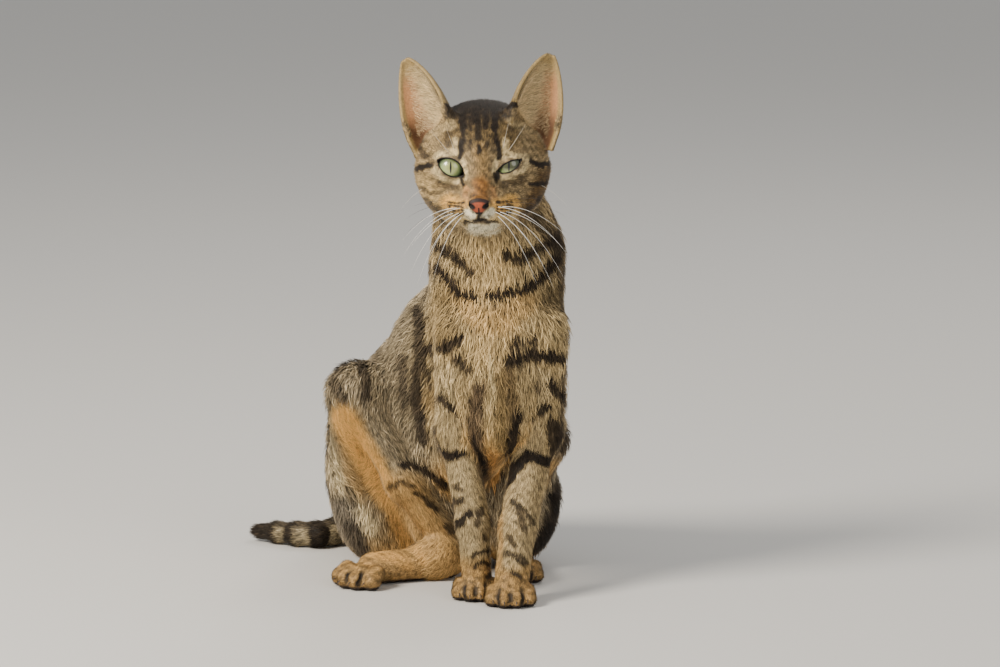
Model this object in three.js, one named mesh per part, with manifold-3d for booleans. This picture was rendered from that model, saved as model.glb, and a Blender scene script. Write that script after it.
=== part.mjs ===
// A young short-haired tabby cat, sitting upright and looking ahead, life size.
// Millimetres, +Z up. The cat faces -Y, and its own left is at +X.
// Its flesh is one smooth body, built up from cones and eggs that melt into each other,
// and is then parted with thin cuts into the head, neck, trunk, limbs and tail.
import * as THREE from 'three';
import Module from 'manifold-3d';

// ---- Driving dimensions ----

const GAP = 0.75; // clear space left by a cut between two neighbours
const THIN = 0.42; // how far a facet may move when needless facets are taken out
const PINCH = 0.02; // share of the way that touching corners are drawn into their own faces
const BLUNT = 0.35; // least facing of a vertex to its faces that a swelling allows for
const SLIVER = 0.05; // twice the area of a facet too small to count
const GROUND = 0.7; // level at which the weight of the cat flattens paws, haunches and tail
const ORIGIN = [-65.75, 98.4, GROUND]; // the middle of the ground that the cat covers

// Frames: where a group of masses sits and how it is turned (degrees).
const FRAMES = {
  world: { at: [0, 0, 0], yaw: 0, pitch: 0, roll: 0 },
  head: { at: [-12, 6, 296], yaw: -3, pitch: 4, roll: -2.2 },
  hips: { at: [-68, 158, 62], yaw: 28, pitch: 0, roll: 0 },
};

// A mass of flesh: kind, limb it belongs to, width of its blend, frame, and its shape.
// A cone has two ends, each with its radius. An egg has a centre and three radii.
const FLESH = [
  // torso
  ['cone', 'trunk', 0, 'world', [-8, 34, 268], 37, [-2, 44, 232], 43],
  ['cone', 'trunk', 18, 'world', [-1, 44, 228], 42.5, [2, 34, 184], 43],
  ['egg', 'trunk', 20, 'world', [-2, 22, 160], [34, 36, 48]],
  ['cone', 'trunk', 22, 'world', [-6, 52, 200], 38, [-26, 84, 158], 44],
  ['cone', 'trunk', 24, 'world', [-26, 84, 158], 44, [-50, 120, 112], 48],
  ['cone', 'trunk', 24, 'world', [-50, 120, 112], 48, [-68, 158, 66], 46],
  ['cone', 'trunk', 18, 'world', [-2, 20, 124], 24, [-28, 84, 92], 34],
  ['egg', 'trunk', 16, 'world', [-36, 112, 50], [34, 38, 50]],
  ['egg', 'trunk', 22, 'hips', [0, 2, -7], [46, 46, 57]],
  // haunches
  ['cone', 'thigh_right', 14, 'world', [-85, 142, 62], 38, [-97, 88, 127], 25],
  ['egg', 'thigh_right', 14, 'world', [-87, 144, 34], [30, 36, 37]],
  ['cone', 'thigh_left', 16, 'world', [-26, 162, 60], 36, [26, 88, 96], 22],
  ['egg', 'thigh_left', 16, 'world', [8, 120, 45], [37, 41, 47]],
  // shoulders and upper arms
  ['cone', 'foreleg_right', 12, 'world', [-24, 12, 180], 20, [-28, 34, 112], 18],
  ['cone', 'foreleg_left', 12, 'world', [27, 12, 182], 20, [26, 34, 112], 20.5],
  // forearms and wrists
  ['cone', 'foreleg_right', 9, 'world', [-28, 34, 108], 17, [-18, 15, 50], 12.5],
  ['cone', 'foreleg_left', 9, 'world', [24, 34, 108], 18.5, [12, 2, 50], 13.5],
  ['cone', 'foreleg_right', 6, 'world', [-18, 15, 50], 12.5, [-15.5, 6, 14], 11],
  ['cone', 'foreleg_left', 6, 'world', [12, 2, 50], 13.5, [7.5, -12, 14], 12.5],
  // shanks
  ['cone', 'shank_right', 8, 'world', [-94, 84, 124], 19, [-64, 79, 68], 18],
  ['cone', 'shank_right', 8, 'world', [-64, 79, 68], 18, [-38, 76, 26], 14],
  ['egg', 'shank_right', 8, 'world', [-44.5, 66, 17.5], [19, 13, 16.5]],
  ['cone', 'thigh_left', 8, 'world', [28, 86, 96], 19, [8, 130, 28], 13],
  // hind feet
  ['cone', 'foot_right', 6, 'world', [-36, 75, 12.5], 13, [-86, 53, 12], 12.5],
  ['cone', 'foot_left', 6, 'world', [8, 130, 12], 12.5, [12, 68, 12], 12.5],
  // skull, cheeks and jaw corners
  ['egg', 'head', 16, 'head', [0, 12, 10], [39, 42, 32]],
  ['egg', 'head', 10, 'head', [25, 4, -5], [22, 28, 22]],
  ['egg', 'head', 10, 'head', [-25, 4, -5], [22, 28, 22]],
  ['egg', 'head', 10, 'head', [18, 0, -20], [22, 26, 18]],
  ['egg', 'head', 10, 'head', [-18, 0, -20], [22, 26, 18]],
  // brows, bridge of the nose, muzzle, whisker pads, nose, chin and throat
  ['egg', 'head', 8, 'head', [17, -14, 14], [15, 12, 9]],
  ['egg', 'head', 8, 'head', [-17, -14, 14], [15, 12, 9]],
  ['cone', 'head', 9, 'head', [0, -18, 8], 14, [0, -41, -15], 9.5],
  ['egg', 'head', 9, 'head', [0, -24, -20], [24, 22, 15]],
  ['egg', 'head', 7, 'head', [10.5, -37, -24], [13, 13, 9.5]],
  ['egg', 'head', 7, 'head', [-10.5, -37, -24], [13, 13, 9.5]],
  ['egg', 'head', 4, 'head', [0, -47, -18], [8, 7, 7]],
  ['egg', 'head', 7, 'head', [0, -32, -34], [13.5, 13, 9.5]],
  ['cone', 'head', 12, 'head', [0, -12, -24], 20, [0, 22, -26], 31],
];

// A paw: its limb, the ball of the foot, the way its toes point (degrees), spread and toe radius.
const PAWS = [
  ['foreleg_right', [-16.5, 5, 7], 0, 15.5, 7],
  ['foreleg_left', [7, -15, 7], 0, 17, 7.3],
  ['foot_right', [-95, 43, 8], 38, 19, 8.2],
  ['foot_left', [13, 60, 7], -4, 16, 7.1],
];
// The four toes of a paw: place across the spread, reach ahead of the ball.
const TOES = [[-0.68, 4.5], [-0.24, 9.5], [0.24, 9.5], [0.68, 4.5]];

// The tail's centre line and its radius at each point.
const TAIL = [
  [[-84, 196, 44], 15], [[-82, 214, 24], 13.5], [[-87, 228, 14], 12.5], [[-99, 230, 12], 12],
  [[-108, 217, 11.5], 11.5], [[-112, 199, 11], 11.2], [[-118, 182, 11], 11], [[-129, 174, 10.5], 10.8],
  [[-143, 178, 10], 10.2], [[-158, 188, 9], 9.2], [[-172, 197, 8], 7.5],
];

// An ear: its node, the middle of its base, its tip, half its width, which side it is on.
const EARS = [
  ['ear_left', [29.2, 7, 22], [48.2, 16, 69.5], 16.9, 1],
  ['ear_right', [-27.2, 7, 22], [-49.5, 16, 69.5], 16.5, -1],
];
const EAR_WALL = 3; // thickness of the ear's wall, with its fur
const EAR_ROOT = 9; // how far the ear goes on down inside the head
const EAR_FACING = [0.42, -0.9, 0.05]; // the way its hollow faces, outward, forward and up
const EAR_TURN = [96, 50]; // how far its wall wraps round, each way, at the base and at the tip (degrees)
const EAR_SWEEP = 1.8; // how late, and
const EAR_TAPER = 0.65; // how sharply its sides draw in to the tip
const EAR_FULLNESS = 0.12; // swelling of its sides half way up
const EAR_TIP = 0.3; // half its width at the very tip
const EAR_BOW = 0.55; // how deep its hollow is, in half widths
const EAR_TUCK = 6; // how far its base is tucked forward

// Eyes: the centre of each ball in the head's frame.
const EYE_RADIUS = 10.5;
const EYES = [['eye_left', [19.2, -19.5, 1.2]], ['eye_right', [-19.2, -19.5, 1.2]]];

// Egg-shaped cuts that part the nose and the lower jaw from the head.
const NOSE_CUT = [[0, -54, -16], [7.4, 7, 6.2]];
const JAW_CUT = [[0, -31, -43], [19, 27, 12]];

// Flat cuts: a point on the cut and the direction that it faces.
const CUTS = {
  head: [[-9, 15, 267.5], [0, -0.447, 0.894]],
  neck: [[0, 40, 214], [0, -0.371, 0.928]],
  chest: [[-30, 90, 150], [0.38, -0.57, 0.728]],
  belly: [[-58, 136, 94], [0.289, -0.61, 0.738]],
  elbow: [[0, 34, 100], [0, -0.2, 0.98]],
  wrist: [[0, 0, 22], [0, 0, 1]],
  tail_base: [[-104, 0, 0], [1, 0, 0]],
  tail_mid: [[-136, 0, 0], [1, 0, 0]],
};

const COLOURS = {
  coat: [0x8f8064, 0.9], head: [0x968767, 0.88], paw: [0xb39a6c, 0.85], tail: [0x6d6456, 0.9],
  ear: [0xb98f6e, 0.8], eye: [0xb4bf78, 0.12], nose: [0xb05a3c, 0.5], chin: [0xe6dccb, 0.9], leg: [0xc39a5c, 0.9],
};

// ---- The shape of the flesh, as distances ----

// The rotation of a frame, as a matrix: yaw about Z, then pitch about X, then roll about Y.
function frameMatrix(frame) {
  const { at, yaw, pitch, roll } = FRAMES[frame];
  const turn = (x, y, z) => new THREE.Matrix4().makeRotationFromEuler(new THREE.Euler(x, y, z));
  const rad = Math.PI / 180;
  return new THREE.Matrix4().makeTranslation(...at)
    .multiply(turn(0, 0, yaw * rad)).multiply(turn(pitch * rad, 0, 0)).multiply(turn(0, roll * rad, 0));
}

// The smaller of two distances, blended over a width k.
function smoothMin(a, b, k) {
  if (k <= 0 || Math.abs(a - b) >= k) return Math.min(a, b);
  const h = (k - Math.abs(a - b)) / k;
  return Math.min(a, b) - h * h * k * 0.25;
}

// Distance to a cone with round ends.
function cone(a, ra, b, rb) {
  const d = [b[0] - a[0], b[1] - a[1], b[2] - a[2]];
  const length2 = d[0] * d[0] + d[1] * d[1] + d[2] * d[2];
  return (x, y, z) => {
    const p = [x - a[0], y - a[1], z - a[2]];
    const t = Math.min(Math.max((p[0] * d[0] + p[1] * d[1] + p[2] * d[2]) / length2, 0), 1);
    return Math.hypot(p[0] - t * d[0], p[1] - t * d[1], p[2] - t * d[2]) - (ra + (rb - ra) * t);
  };
}

// Distance to an egg with its own axes, given as the three columns of a matrix.
function egg(centre, radii, axes) {
  return (x, y, z) => {
    const p = [x - centre[0], y - centre[1], z - centre[2]];
    let near = 0;
    let slope = 0;
    for (let i = 0; i < 3; i++) {
      const q = p[0] * axes[i][0] + p[1] * axes[i][1] + p[2] * axes[i][2];
      near += (q / radii[i]) ** 2;
      slope += (q / radii[i] ** 2) ** 2;
    }
    near = Math.sqrt(near);
    return near * (near - 1) / (Math.sqrt(slope) + 1e-9);
  };
}

function place(point, matrix) {
  return new THREE.Vector3(...point).applyMatrix4(matrix).toArray();
}

function axesOf(matrix) {
  const x = new THREE.Vector3();
  const y = new THREE.Vector3();
  const z = new THREE.Vector3();
  matrix.extractBasis(x, y, z);
  return [x.toArray(), y.toArray(), z.toArray()];
}

function fleshMass([kind, limb, blend, frame, ...shape]) {
  const matrix = frameMatrix(frame);
  const distance = kind === 'cone'
    ? cone(place(shape[0], matrix), shape[1], place(shape[2], matrix), shape[3])
    : egg(place(shape[0], matrix), shape[1], axesOf(matrix));
  return { limb, blend, distance };
}

// A paw is a flat pad with four toes fanned out ahead of it.
function pawMasses([limb, ball, degrees, spread, toe]) {
  const turn = degrees * Math.PI / 180;
  const ahead = [-Math.sin(turn), -Math.cos(turn)];
  const side = [Math.cos(turn), -Math.sin(turn)];
  const pad = egg([ball[0], ball[1], ball[2] + 0.8], [spread * 0.92, 11, 8.5],
    [[...side, 0], [-ahead[0], -ahead[1], 0], [0, 0, 1]]);
  const masses = [{ limb, blend: 5, distance: pad }];
  for (const [across, reach] of TOES) {
    const x = ball[0] + side[0] * across * spread + ahead[0] * reach;
    const y = ball[1] + side[1] * across * spread + ahead[1] * reach;
    const back = [x - ahead[0] * 6, y - ahead[1] * 6, ball[2] + 3.5];
    masses.push({ limb, blend: 2, distance: cone(back, toe * 0.85, [x, y, ball[2] - 0.8], toe) });
  }
  return masses;
}

function tailMasses() {
  const lengths = TAIL.slice(1).map((end, i) => cone(TAIL[i][0], TAIL[i][1], end[0], end[1]));
  return lengths.map((distance) => ({ limb: 'tail', blend: 4, distance }));
}

const MASSES = [...FLESH.map(fleshMass), ...PAWS.flatMap(pawMasses), ...tailMasses()];

function flesh(x, y, z) {
  let distance = 1e6;
  for (const mass of MASSES) distance = smoothMin(distance, mass.distance(x, y, z), mass.blend);
  return distance;
}

// How much nearer a point is to one limb than to all the rest: below zero inside the limb's share.
function share(limb) {
  const own = MASSES.filter((mass) => mass.limb === limb);
  const rest = MASSES.filter((mass) => mass.limb !== limb);
  const least = (masses, x, y, z) => Math.min(...masses.map((mass) => mass.distance(x, y, z)));
  return (x, y, z) => (least(own, x, y, z) - least(rest, x, y, z)) / 2;
}

// ---- Turning distances into closed meshes ----

// A closed mesh of the inside of a field, in a box of cells. Each crossed cell holds one vertex.
function netMesh(field, box, cell) {
  const [low, high] = box;
  const n = low.map((v, i) => Math.ceil((high[i] - v) / cell) + 1);
  const index = (i, j, k) => (i * n[1] + j) * n[2] + k;
  const values = new Float64Array(n[0] * n[1] * n[2]);
  for (let i = 0; i < n[0]; i++) {
    for (let j = 0; j < n[1]; j++) {
      for (let k = 0; k < n[2]; k++) {
        const rim = i === 0 || j === 0 || k === 0 || i === n[0] - 1 || j === n[1] - 1 || k === n[2] - 1;
        const value = field(low[0] + i * cell, low[1] + j * cell, low[2] + k * cell);
        values[index(i, j, k)] = rim ? Math.max(value, 0.5 * cell) : value;
      }
    }
  }
  const positions = [];
  const vertexOf = new Map();
  for (let i = 0; i < n[0] - 1; i++) {
    for (let j = 0; j < n[1] - 1; j++) {
      for (let k = 0; k < n[2] - 1; k++) {
        const vertex = cellVertex(values, index, i, j, k);
        if (!vertex) continue;
        vertexOf.set(index(i, j, k), positions.length / 3);
        positions.push(...vertex.map((v, axis) => low[axis] + v * cell));
      }
    }
  }
  const faces = [];
  for (let i = 0; i < n[0] - 1; i++) {
    for (let j = 0; j < n[1] - 1; j++) {
      for (let k = 0; k < n[2] - 1; k++) addFaces(faces, positions, values, index, vertexOf, [i, j, k]);
    }
  }
  return { positions, faces };
}

// The mean of the places where a cell's edges cross the surface.
function cellVertex(values, index, i, j, k) {
  const sum = [0, 0, 0];
  let count = 0;
  for (let axis = 0; axis < 3; axis++) {
    for (let corner = 0; corner < 4; corner++) {
      const a = [0, 0, 0];
      a[(axis + 1) % 3] = corner & 1;
      a[(axis + 2) % 3] = corner >> 1;
      const b = [...a];
      b[axis] = 1;
      const va = values[index(i + a[0], j + a[1], k + a[2])];
      const vb = values[index(i + b[0], j + b[1], k + b[2])];
      if ((va < 0) === (vb < 0)) continue;
      a[axis] = va / (va - vb);
      sum[0] += i + a[0];
      sum[1] += j + a[1];
      sum[2] += k + a[2];
      count++;
    }
  }
  return count ? sum.map((v) => v / count) : null;
}

// Two triangles for each grid edge that crosses the surface, split along the shorter diagonal.
function addFaces(faces, positions, values, index, vertexOf, at) {
  const here = values[index(...at)] < 0;
  for (let axis = 0; axis < 3; axis++) {
    const next = [...at];
    next[axis] += 1;
    const there = values[index(...next)] < 0;
    if (here === there) continue;
    const u = (axis + 1) % 3;
    const v = (axis + 2) % 3;
    const ring = [[0, 0], [1, 0], [1, 1], [0, 1]].map(([du, dv]) => {
      const c = [...at];
      c[u] -= du;
      c[v] -= dv;
      return vertexOf.get(index(...c));
    });
    if (there) ring.reverse();
    const gap = (a, b) => Math.hypot(...[0, 1, 2].map((m) => positions[3 * a + m] - positions[3 * b + m]));
    if (gap(ring[0], ring[2]) <= gap(ring[1], ring[3])) {
      faces.push(ring[0], ring[1], ring[2], ring[0], ring[2], ring[3]);
    } else {
      faces.push(ring[1], ring[2], ring[3], ring[1], ring[3], ring[0]);
    }
  }
}

// ---- Solids, joined and cut ----

const wasm = await Module();
wasm.setup();

function solid({ positions, faces }) {
  const mesh = new wasm.Mesh({
    numProp: 3, vertProperties: new Float32Array(positions), triVerts: new Uint32Array(faces),
  });
  return new wasm.Manifold(mesh);
}

// A mesh with every face moved outward by a distance: each vertex goes along its normal,
// and further where the faces around it meet at a sharp edge.
function swell(mesh, distance) {
  const geometry = new THREE.BufferGeometry();
  geometry.setAttribute('position', new THREE.Float32BufferAttribute(mesh.positions, 3));
  geometry.setIndex(mesh.faces);
  geometry.computeVertexNormals();
  const point = (v) => new THREE.Vector3().fromArray(mesh.positions, 3 * v);
  const normals = mesh.positions.filter((_, i) => i % 3 === 0)
    .map((_, v) => new THREE.Vector3().fromBufferAttribute(geometry.attributes.normal, v));
  const facing = normals.map(() => 1);
  for (let i = 0; i < mesh.faces.length; i += 3) {
    const [a, b, c] = mesh.faces.slice(i, i + 3);
    const face = point(b).sub(point(a)).cross(point(c).sub(point(a))).normalize();
    for (const v of [a, b, c]) facing[v] = Math.min(facing[v], Math.max(face.dot(normals[v]), BLUNT));
  }
  const positions = normals.flatMap((n, v) => point(v).addScaledVector(n, distance / facing[v]).toArray());
  return { positions, faces: mesh.faces };
}

// Vertices and faces of an egg, from a sphere that is scaled, turned and moved.
function eggMesh(centre, radii, matrix, across, round) {
  const ball = new THREE.SphereGeometry(1, round, across);
  const source = ball.attributes.position;
  const merged = new Map();
  const positions = [];
  const vertex = [];
  for (let i = 0; i < source.count; i++) {
    const point = new THREE.Vector3().fromBufferAttribute(source, i);
    const key = point.toArray().map((v) => v.toFixed(5)).join().replaceAll('-0.00000', '0.00000');
    if (!merged.has(key)) {
      merged.set(key, positions.length / 3);
      point.multiply(new THREE.Vector3(...radii)).add(new THREE.Vector3(...centre)).applyMatrix4(matrix);
      positions.push(point.x, point.y, point.z);
    }
    vertex.push(merged.get(key));
  }
  const faces = [];
  for (let i = 0; i < ball.index.count; i += 3) {
    const [a, b, c] = [0, 1, 2].map((m) => vertex[ball.index.getX(i + m)]);
    if (a !== b && b !== c && c !== a) faces.push(a, b, c);
  }
  return { positions, faces };
}

// The side of a flat cut that it faces, or the side behind it, half a gap clear of the cut.
function ahead(body, cut) {
  const [point, normal] = CUTS[cut];
  const direction = new THREE.Vector3(...normal).normalize();
  return body.trimByPlane(direction.toArray(), direction.dot(new THREE.Vector3(...point)) + GAP / 2);
}

function behind(body, cut) {
  const [point, normal] = CUTS[cut];
  const direction = new THREE.Vector3(...normal).normalize().negate();
  return body.trimByPlane(direction.toArray(), direction.dot(new THREE.Vector3(...point)) + GAP / 2);
}

// The flesh in a box, flat where it meets the ground.
function fleshIn(box, cell) {
  return solid(netMesh(flesh, box, cell)).trimByPlane([0, 0, 1], GROUND);
}

// The largest connected piece of a mesh, without the crumbs that a cut leaves.
function largestPiece(mesh) {
  const parent = Array.from({ length: mesh.vertProperties.length / 3 }, (_, i) => i);
  const root = (i) => {
    while (parent[i] !== i) {
      parent[i] = parent[parent[i]];
      i = parent[i];
    }
    return i;
  };
  const tris = mesh.triVerts;
  for (let i = 0; i < tris.length; i += 3) {
    parent[root(tris[i])] = root(tris[i + 1]);
    parent[root(tris[i + 1])] = root(tris[i + 2]);
  }
  const count = new Map();
  for (let i = 0; i < tris.length; i += 3) count.set(root(tris[i]), (count.get(root(tris[i])) ?? 0) + 1);
  const best = [...count].reduce((a, b) => (b[1] > a[1] ? b : a))[0];
  return compact(mesh.vertProperties, [...tris].filter((v) => root(v) === best));
}

// The mesh with its needless vertices taken out, each drawn along an edge onto a neighbour
// wherever no face near it moves by more than the given distance.
function thinned({ positions, faces }, limit) {
  const corner = (v) => new THREE.Vector3().fromArray(positions, 3 * v);
  const points = Array.from({ length: positions.length / 3 }, (_, v) => corner(v));
  const triangles = [];
  const around = points.map(() => new Set());
  for (let i = 0; i < faces.length; i += 3) {
    for (let m = 0; m < 3; m++) around[faces[i + m]].add(triangles.length);
    triangles.push([faces[i], faces[i + 1], faces[i + 2]]);
  }
  const moved = points.map(() => 0);
  const normal = ([a, b, c]) => new THREE.Vector3().subVectors(points[b], points[a])
    .cross(new THREE.Vector3().subVectors(points[c], points[a]));
  const neighbours = (v) => new Set([...around[v]].flatMap((t) => triangles[t]).filter((w) => w !== v));

  // How far faces move if a is drawn onto b, or Infinity where that would fold or tear the mesh.
  function cost(a, b) {
    const shared = [...neighbours(a)].filter((v) => neighbours(b).has(v));
    if (shared.length !== 2) return Infinity;
    let worst = 0;
    for (const t of around[a]) {
      const before = normal(triangles[t]);
      const size = before.length();
      if (size > SLIVER) worst = Math.max(worst, Math.abs(before.dot(points[b].clone().sub(points[a]))) / size);
      if (triangles[t].includes(b)) continue;
      const after = normal(triangles[t].map((v) => (v === a ? b : v)));
      if (size < SLIVER) continue;
      if (after.length() < SLIVER || before.dot(after) < 0.5 * size * after.length()) return Infinity;
    }
    return worst + moved[a];
  }

  let changed = true;
  while (changed) {
    changed = false;
    for (let a = 0; a < points.length; a++) {
      if (around[a].size === 0) continue;
      let best = null;
      let least = limit;
      for (const b of neighbours(a)) {
        const price = cost(a, b);
        if (price < least) [best, least] = [b, price];
      }
      if (best === null) continue;
      for (const t of [...around[a]]) {
        around[a].delete(t);
        if (triangles[t].includes(best)) {
          for (const v of triangles[t]) around[v].delete(t);
          triangles[t] = null;
        } else {
          triangles[t] = triangles[t].map((v) => (v === a ? best : v));
          around[best].add(t);
        }
      }
      moved[best] = Math.max(moved[best], least);
      changed = true;
    }
  }
  return compact(positions, triangles.filter((t) => t).flat());
}

// Corners that only touch are drawn apart, each a little way into its own faces.
function unpinched({ positions, faces }) {
  const middle = Array.from({ length: positions.length / 3 }, () => [0, 0, 0, 0]);
  for (let i = 0; i < faces.length; i++) {
    const next = faces[i - (i % 3) + ((i + 1) % 3)];
    for (let axis = 0; axis < 3; axis++) middle[faces[i]][axis] += positions[3 * next + axis];
    middle[faces[i]][3] += 1;
  }
  const key = (v) => [0, 1, 2].map((axis) => positions[3 * v + axis].toFixed(2)).join();
  const seen = new Map();
  middle.forEach((_, v) => seen.set(key(v), [...(seen.get(key(v)) ?? []), v]));
  for (const touching of seen.values()) {
    if (touching.length < 2) continue;
    for (const v of touching) {
      for (let axis = 0; axis < 3; axis++) {
        positions[3 * v + axis] += PINCH * (middle[v][axis] / middle[v][3] - positions[3 * v + axis]);
      }
    }
  }
  return { positions, faces };
}

// The vertices that the faces use, numbered afresh.
function compact(source, corners) {
  const positions = [];
  const index = new Map();
  const faces = corners.map((v) => {
    if (!index.has(v)) {
      index.set(v, positions.length / 3);
      positions.push(source[3 * v], source[3 * v + 1], source[3 * v + 2]);
    }
    return index.get(v);
  });
  return { positions, faces };
}

// ---- Limbs: each takes its share of the flesh, and what it takes is cut from the trunk ----

// Piece, limb whose share it is, box that holds it, cell of its surface, cell of its cut.
const LIMBS = [
  ['thigh_right', 'thigh_right', [[-142, 50, -9], [-30, 215, 172]], 12, 15],
  ['thigh_left', 'thigh_left', [[-70, 46, -9], [68, 216, 142]], 13, 15],
  ['shank_right', 'shank_right', [[-122, 48, -9], [-14, 122, 140]], 10, 12],
  ['foot_right', 'foot_right', [[-128, 18, -7], [-14, 104, 38]], 6.2, 11],
  ['foot_left', 'foot_left', [[-20, 30, -7], [44, 158, 38]], 7, 12],
  ['foreleg_right', 'foreleg_right', [[-62, -24, 8], [14, 74, 214]], 9.4, 14],
  ['foreleg_left', 'foreleg_left', [[-24, -44, 8], [66, 74, 214]], 9.4, 14],
  ['paw_right', 'foreleg_right', [[-48, -24, -7], [14, 44, 38]], 5.2, 14],
  ['paw_left', 'foreleg_left', [[-24, -44, -7], [40, 34, 38]], 5.2, 14],
  ['tail', 'tail', [[-186, 150, -6], [-62, 248, 70]], 6.8, 14],
];
const HEAD_BOX = [[-72, -62, 226], [54, 70, 346]];
const HEAD_CELL = 6.2;
const TRUNK_BOX = [[-130, -32, -9], [70, 214, 300]];
const TRUNK_CELL = 17;
const CUT_ROOM = 16; // how far a cut's own box reaches past the flesh it cuts

const limbs = {};
const taken = [];
for (const [piece, limb, box, cell, cutCell] of LIMBS) {
  const wide = [box[0].map((v) => v - CUT_ROOM), box[1].map((v) => v + CUT_ROOM)];
  const cutter = netMesh(share(limb), wide, cutCell);
  limbs[piece] = fleshIn(box, cell).intersect(solid(cutter));
  for (const other of taken) if (other.limb !== limb) limbs[piece] = limbs[piece].subtract(other.room);
  taken.push({ limb, room: solid(swell(cutter, GAP)) });
}

let trunk = fleshIn(TRUNK_BOX, TRUNK_CELL);
for (const other of taken) trunk = trunk.subtract(other.room);

// The head, with its eyes, nose and lower jaw set in it.
const headMatrix = frameMatrix('head');
const cutEgg = ([centre, radii], grow) => solid(
  eggMesh(centre, radii.map((r) => r + grow), headMatrix, 7, 12));
const eyeEgg = (centre, grow) => solid(
  eggMesh(centre, [EYE_RADIUS + grow, EYE_RADIUS + grow, EYE_RADIUS + grow], headMatrix, 8, 12));
const skull = ahead(fleshIn(HEAD_BOX, HEAD_CELL), 'head');
let head = skull.subtract(cutEgg(NOSE_CUT, GAP)).subtract(cutEgg(JAW_CUT, GAP));
for (const [, centre] of EYES) head = head.subtract(eyeEgg(centre, GAP));
const nose = skull.intersect(cutEgg(NOSE_CUT, 0)).subtract(cutEgg(JAW_CUT, GAP));
const jaw = skull.intersect(cutEgg(JAW_CUT, 0));

// ---- Ears: a curved wall, wide at the root and narrowing to the tip ----

const EAR_RINGS = 8;
const EAR_STEPS = 6;

// The wall's half width, half angle and radius at a height along the ear, 0 at the base, 1 at the tip.
function earSection(height, halfWidth) {
  const t = Math.max(height, 0);
  const side = (1 - t ** EAR_SWEEP) ** EAR_TAPER * (1 + EAR_FULLNESS * Math.sin(Math.PI * t));
  const half = halfWidth * side + EAR_TIP;
  const angle = (EAR_TURN[0] + (EAR_TURN[1] - EAR_TURN[0]) * t) * Math.PI / 180;
  return { half, angle, radius: half / Math.sin(Math.min(angle, Math.PI / 2)) };
}

function earMesh([, base, tip, halfWidth, side]) {
  const root = new THREE.Vector3(...base).applyMatrix4(headMatrix);
  const end = new THREE.Vector3(...tip).applyMatrix4(headMatrix);
  const up = end.clone().sub(root);
  const length = up.length();
  up.normalize();
  const turn = new THREE.Matrix4().extractRotation(headMatrix);
  const face = new THREE.Vector3(side * EAR_FACING[0], EAR_FACING[1], EAR_FACING[2]).applyMatrix4(turn);
  face.addScaledVector(up, -face.dot(up)).normalize();
  const across = new THREE.Vector3().crossVectors(face, up);
  const positions = [];
  for (let ring = 0; ring <= EAR_RINGS; ring++) {
    const height = -EAR_ROOT + (length + EAR_ROOT) * ring / EAR_RINGS;
    const t = Math.min(height / length, 0.985);
    const { half, angle, radius } = earSection(t, halfWidth);
    const back = EAR_BOW * half - radius - EAR_TUCK * (1 - Math.max(t, 0));
    for (let wall = 0; wall < 2; wall++) {
      const r = Math.max(radius + (wall ? -EAR_WALL / 2 : EAR_WALL / 2), 0.2);
      for (let step = 0; step <= EAR_STEPS; step++) {
        const a = angle * (wall ? 1 - 2 * step / EAR_STEPS : 2 * step / EAR_STEPS - 1);
        const point = root.clone().addScaledVector(up, height)
          .addScaledVector(across, r * Math.sin(a)).addScaledVector(face, -(back + r * Math.cos(a)));
        positions.push(...point.toArray());
      }
    }
  }
  const count = 2 * (EAR_STEPS + 1);
  const faces = [];
  for (let ring = 0; ring < EAR_RINGS; ring++) {
    for (let i = 0; i < count; i++) {
      const a = ring * count + i;
      const b = ring * count + (i + 1) % count;
      faces.push(a, b, b + count, a, b + count, a + count);
    }
  }
  for (let step = 0; step < EAR_STEPS; step++) {
    const low = [step, step + 1, count - 2 - step, count - 1 - step];
    const high = low.map((i) => i + EAR_RINGS * count);
    faces.push(low[0], low[3], low[2], low[0], low[2], low[1]);
    faces.push(high[0], high[1], high[2], high[0], high[2], high[3]);
  }
  return { positions, faces };
}

const skullRoom = solid(swell(netMesh(flesh, HEAD_BOX, HEAD_CELL), GAP));

// ---- The model ----

const cat = new THREE.Group();
cat.position.set(-ORIGIN[0], -ORIGIN[1], -ORIGIN[2]);

function addNode(name, body, colour) {
  const { positions, faces } = unpinched(thinned(largestPiece(body.getMesh()), THIN));
  const geometry = new THREE.BufferGeometry();
  geometry.setAttribute('position', new THREE.Float32BufferAttribute(positions, 3));
  geometry.setIndex(faces);
  geometry.computeVertexNormals();
  const [color, roughness] = COLOURS[colour];
  const mesh = new THREE.Mesh(geometry, new THREE.MeshStandardMaterial({ color, roughness, metalness: 0 }));
  mesh.name = name;
  cat.add(mesh);
}

addNode('head', head, 'head');
addNode('lower_jaw', jaw, 'chin');
addNode('nose', nose, 'nose');
for (const [name, centre] of EYES) addNode(name, eyeEgg(centre, 0), 'eye');
for (const ear of EARS) addNode(ear[0], solid(earMesh(ear)).subtract(skullRoom), 'ear');
addNode('neck', ahead(behind(trunk, 'head'), 'neck'), 'coat');
addNode('chest', ahead(behind(trunk, 'neck'), 'chest'), 'coat');
addNode('belly', ahead(behind(behind(trunk, 'neck'), 'chest'), 'belly'), 'coat');
addNode('rump', behind(behind(trunk, 'chest'), 'belly'), 'coat');
for (const side of ['left', 'right']) {
  const leg = limbs[`foreleg_${side}`];
  addNode(`shoulder_${side}`, ahead(leg, 'elbow'), 'coat');
  addNode(`forearm_${side}`, ahead(behind(leg, 'elbow'), 'wrist'), 'coat');
  addNode(`forepaw_${side}`, behind(limbs[`paw_${side}`], 'wrist'), 'paw');
  addNode(`thigh_${side}`, limbs[`thigh_${side}`], 'coat');
  addNode(`hind_foot_${side}`, limbs[`foot_${side}`], 'paw');
}
addNode('shank_right', limbs.shank_right, 'leg');
addNode('tail_base', ahead(limbs.tail, 'tail_base'), 'tail');
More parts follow.
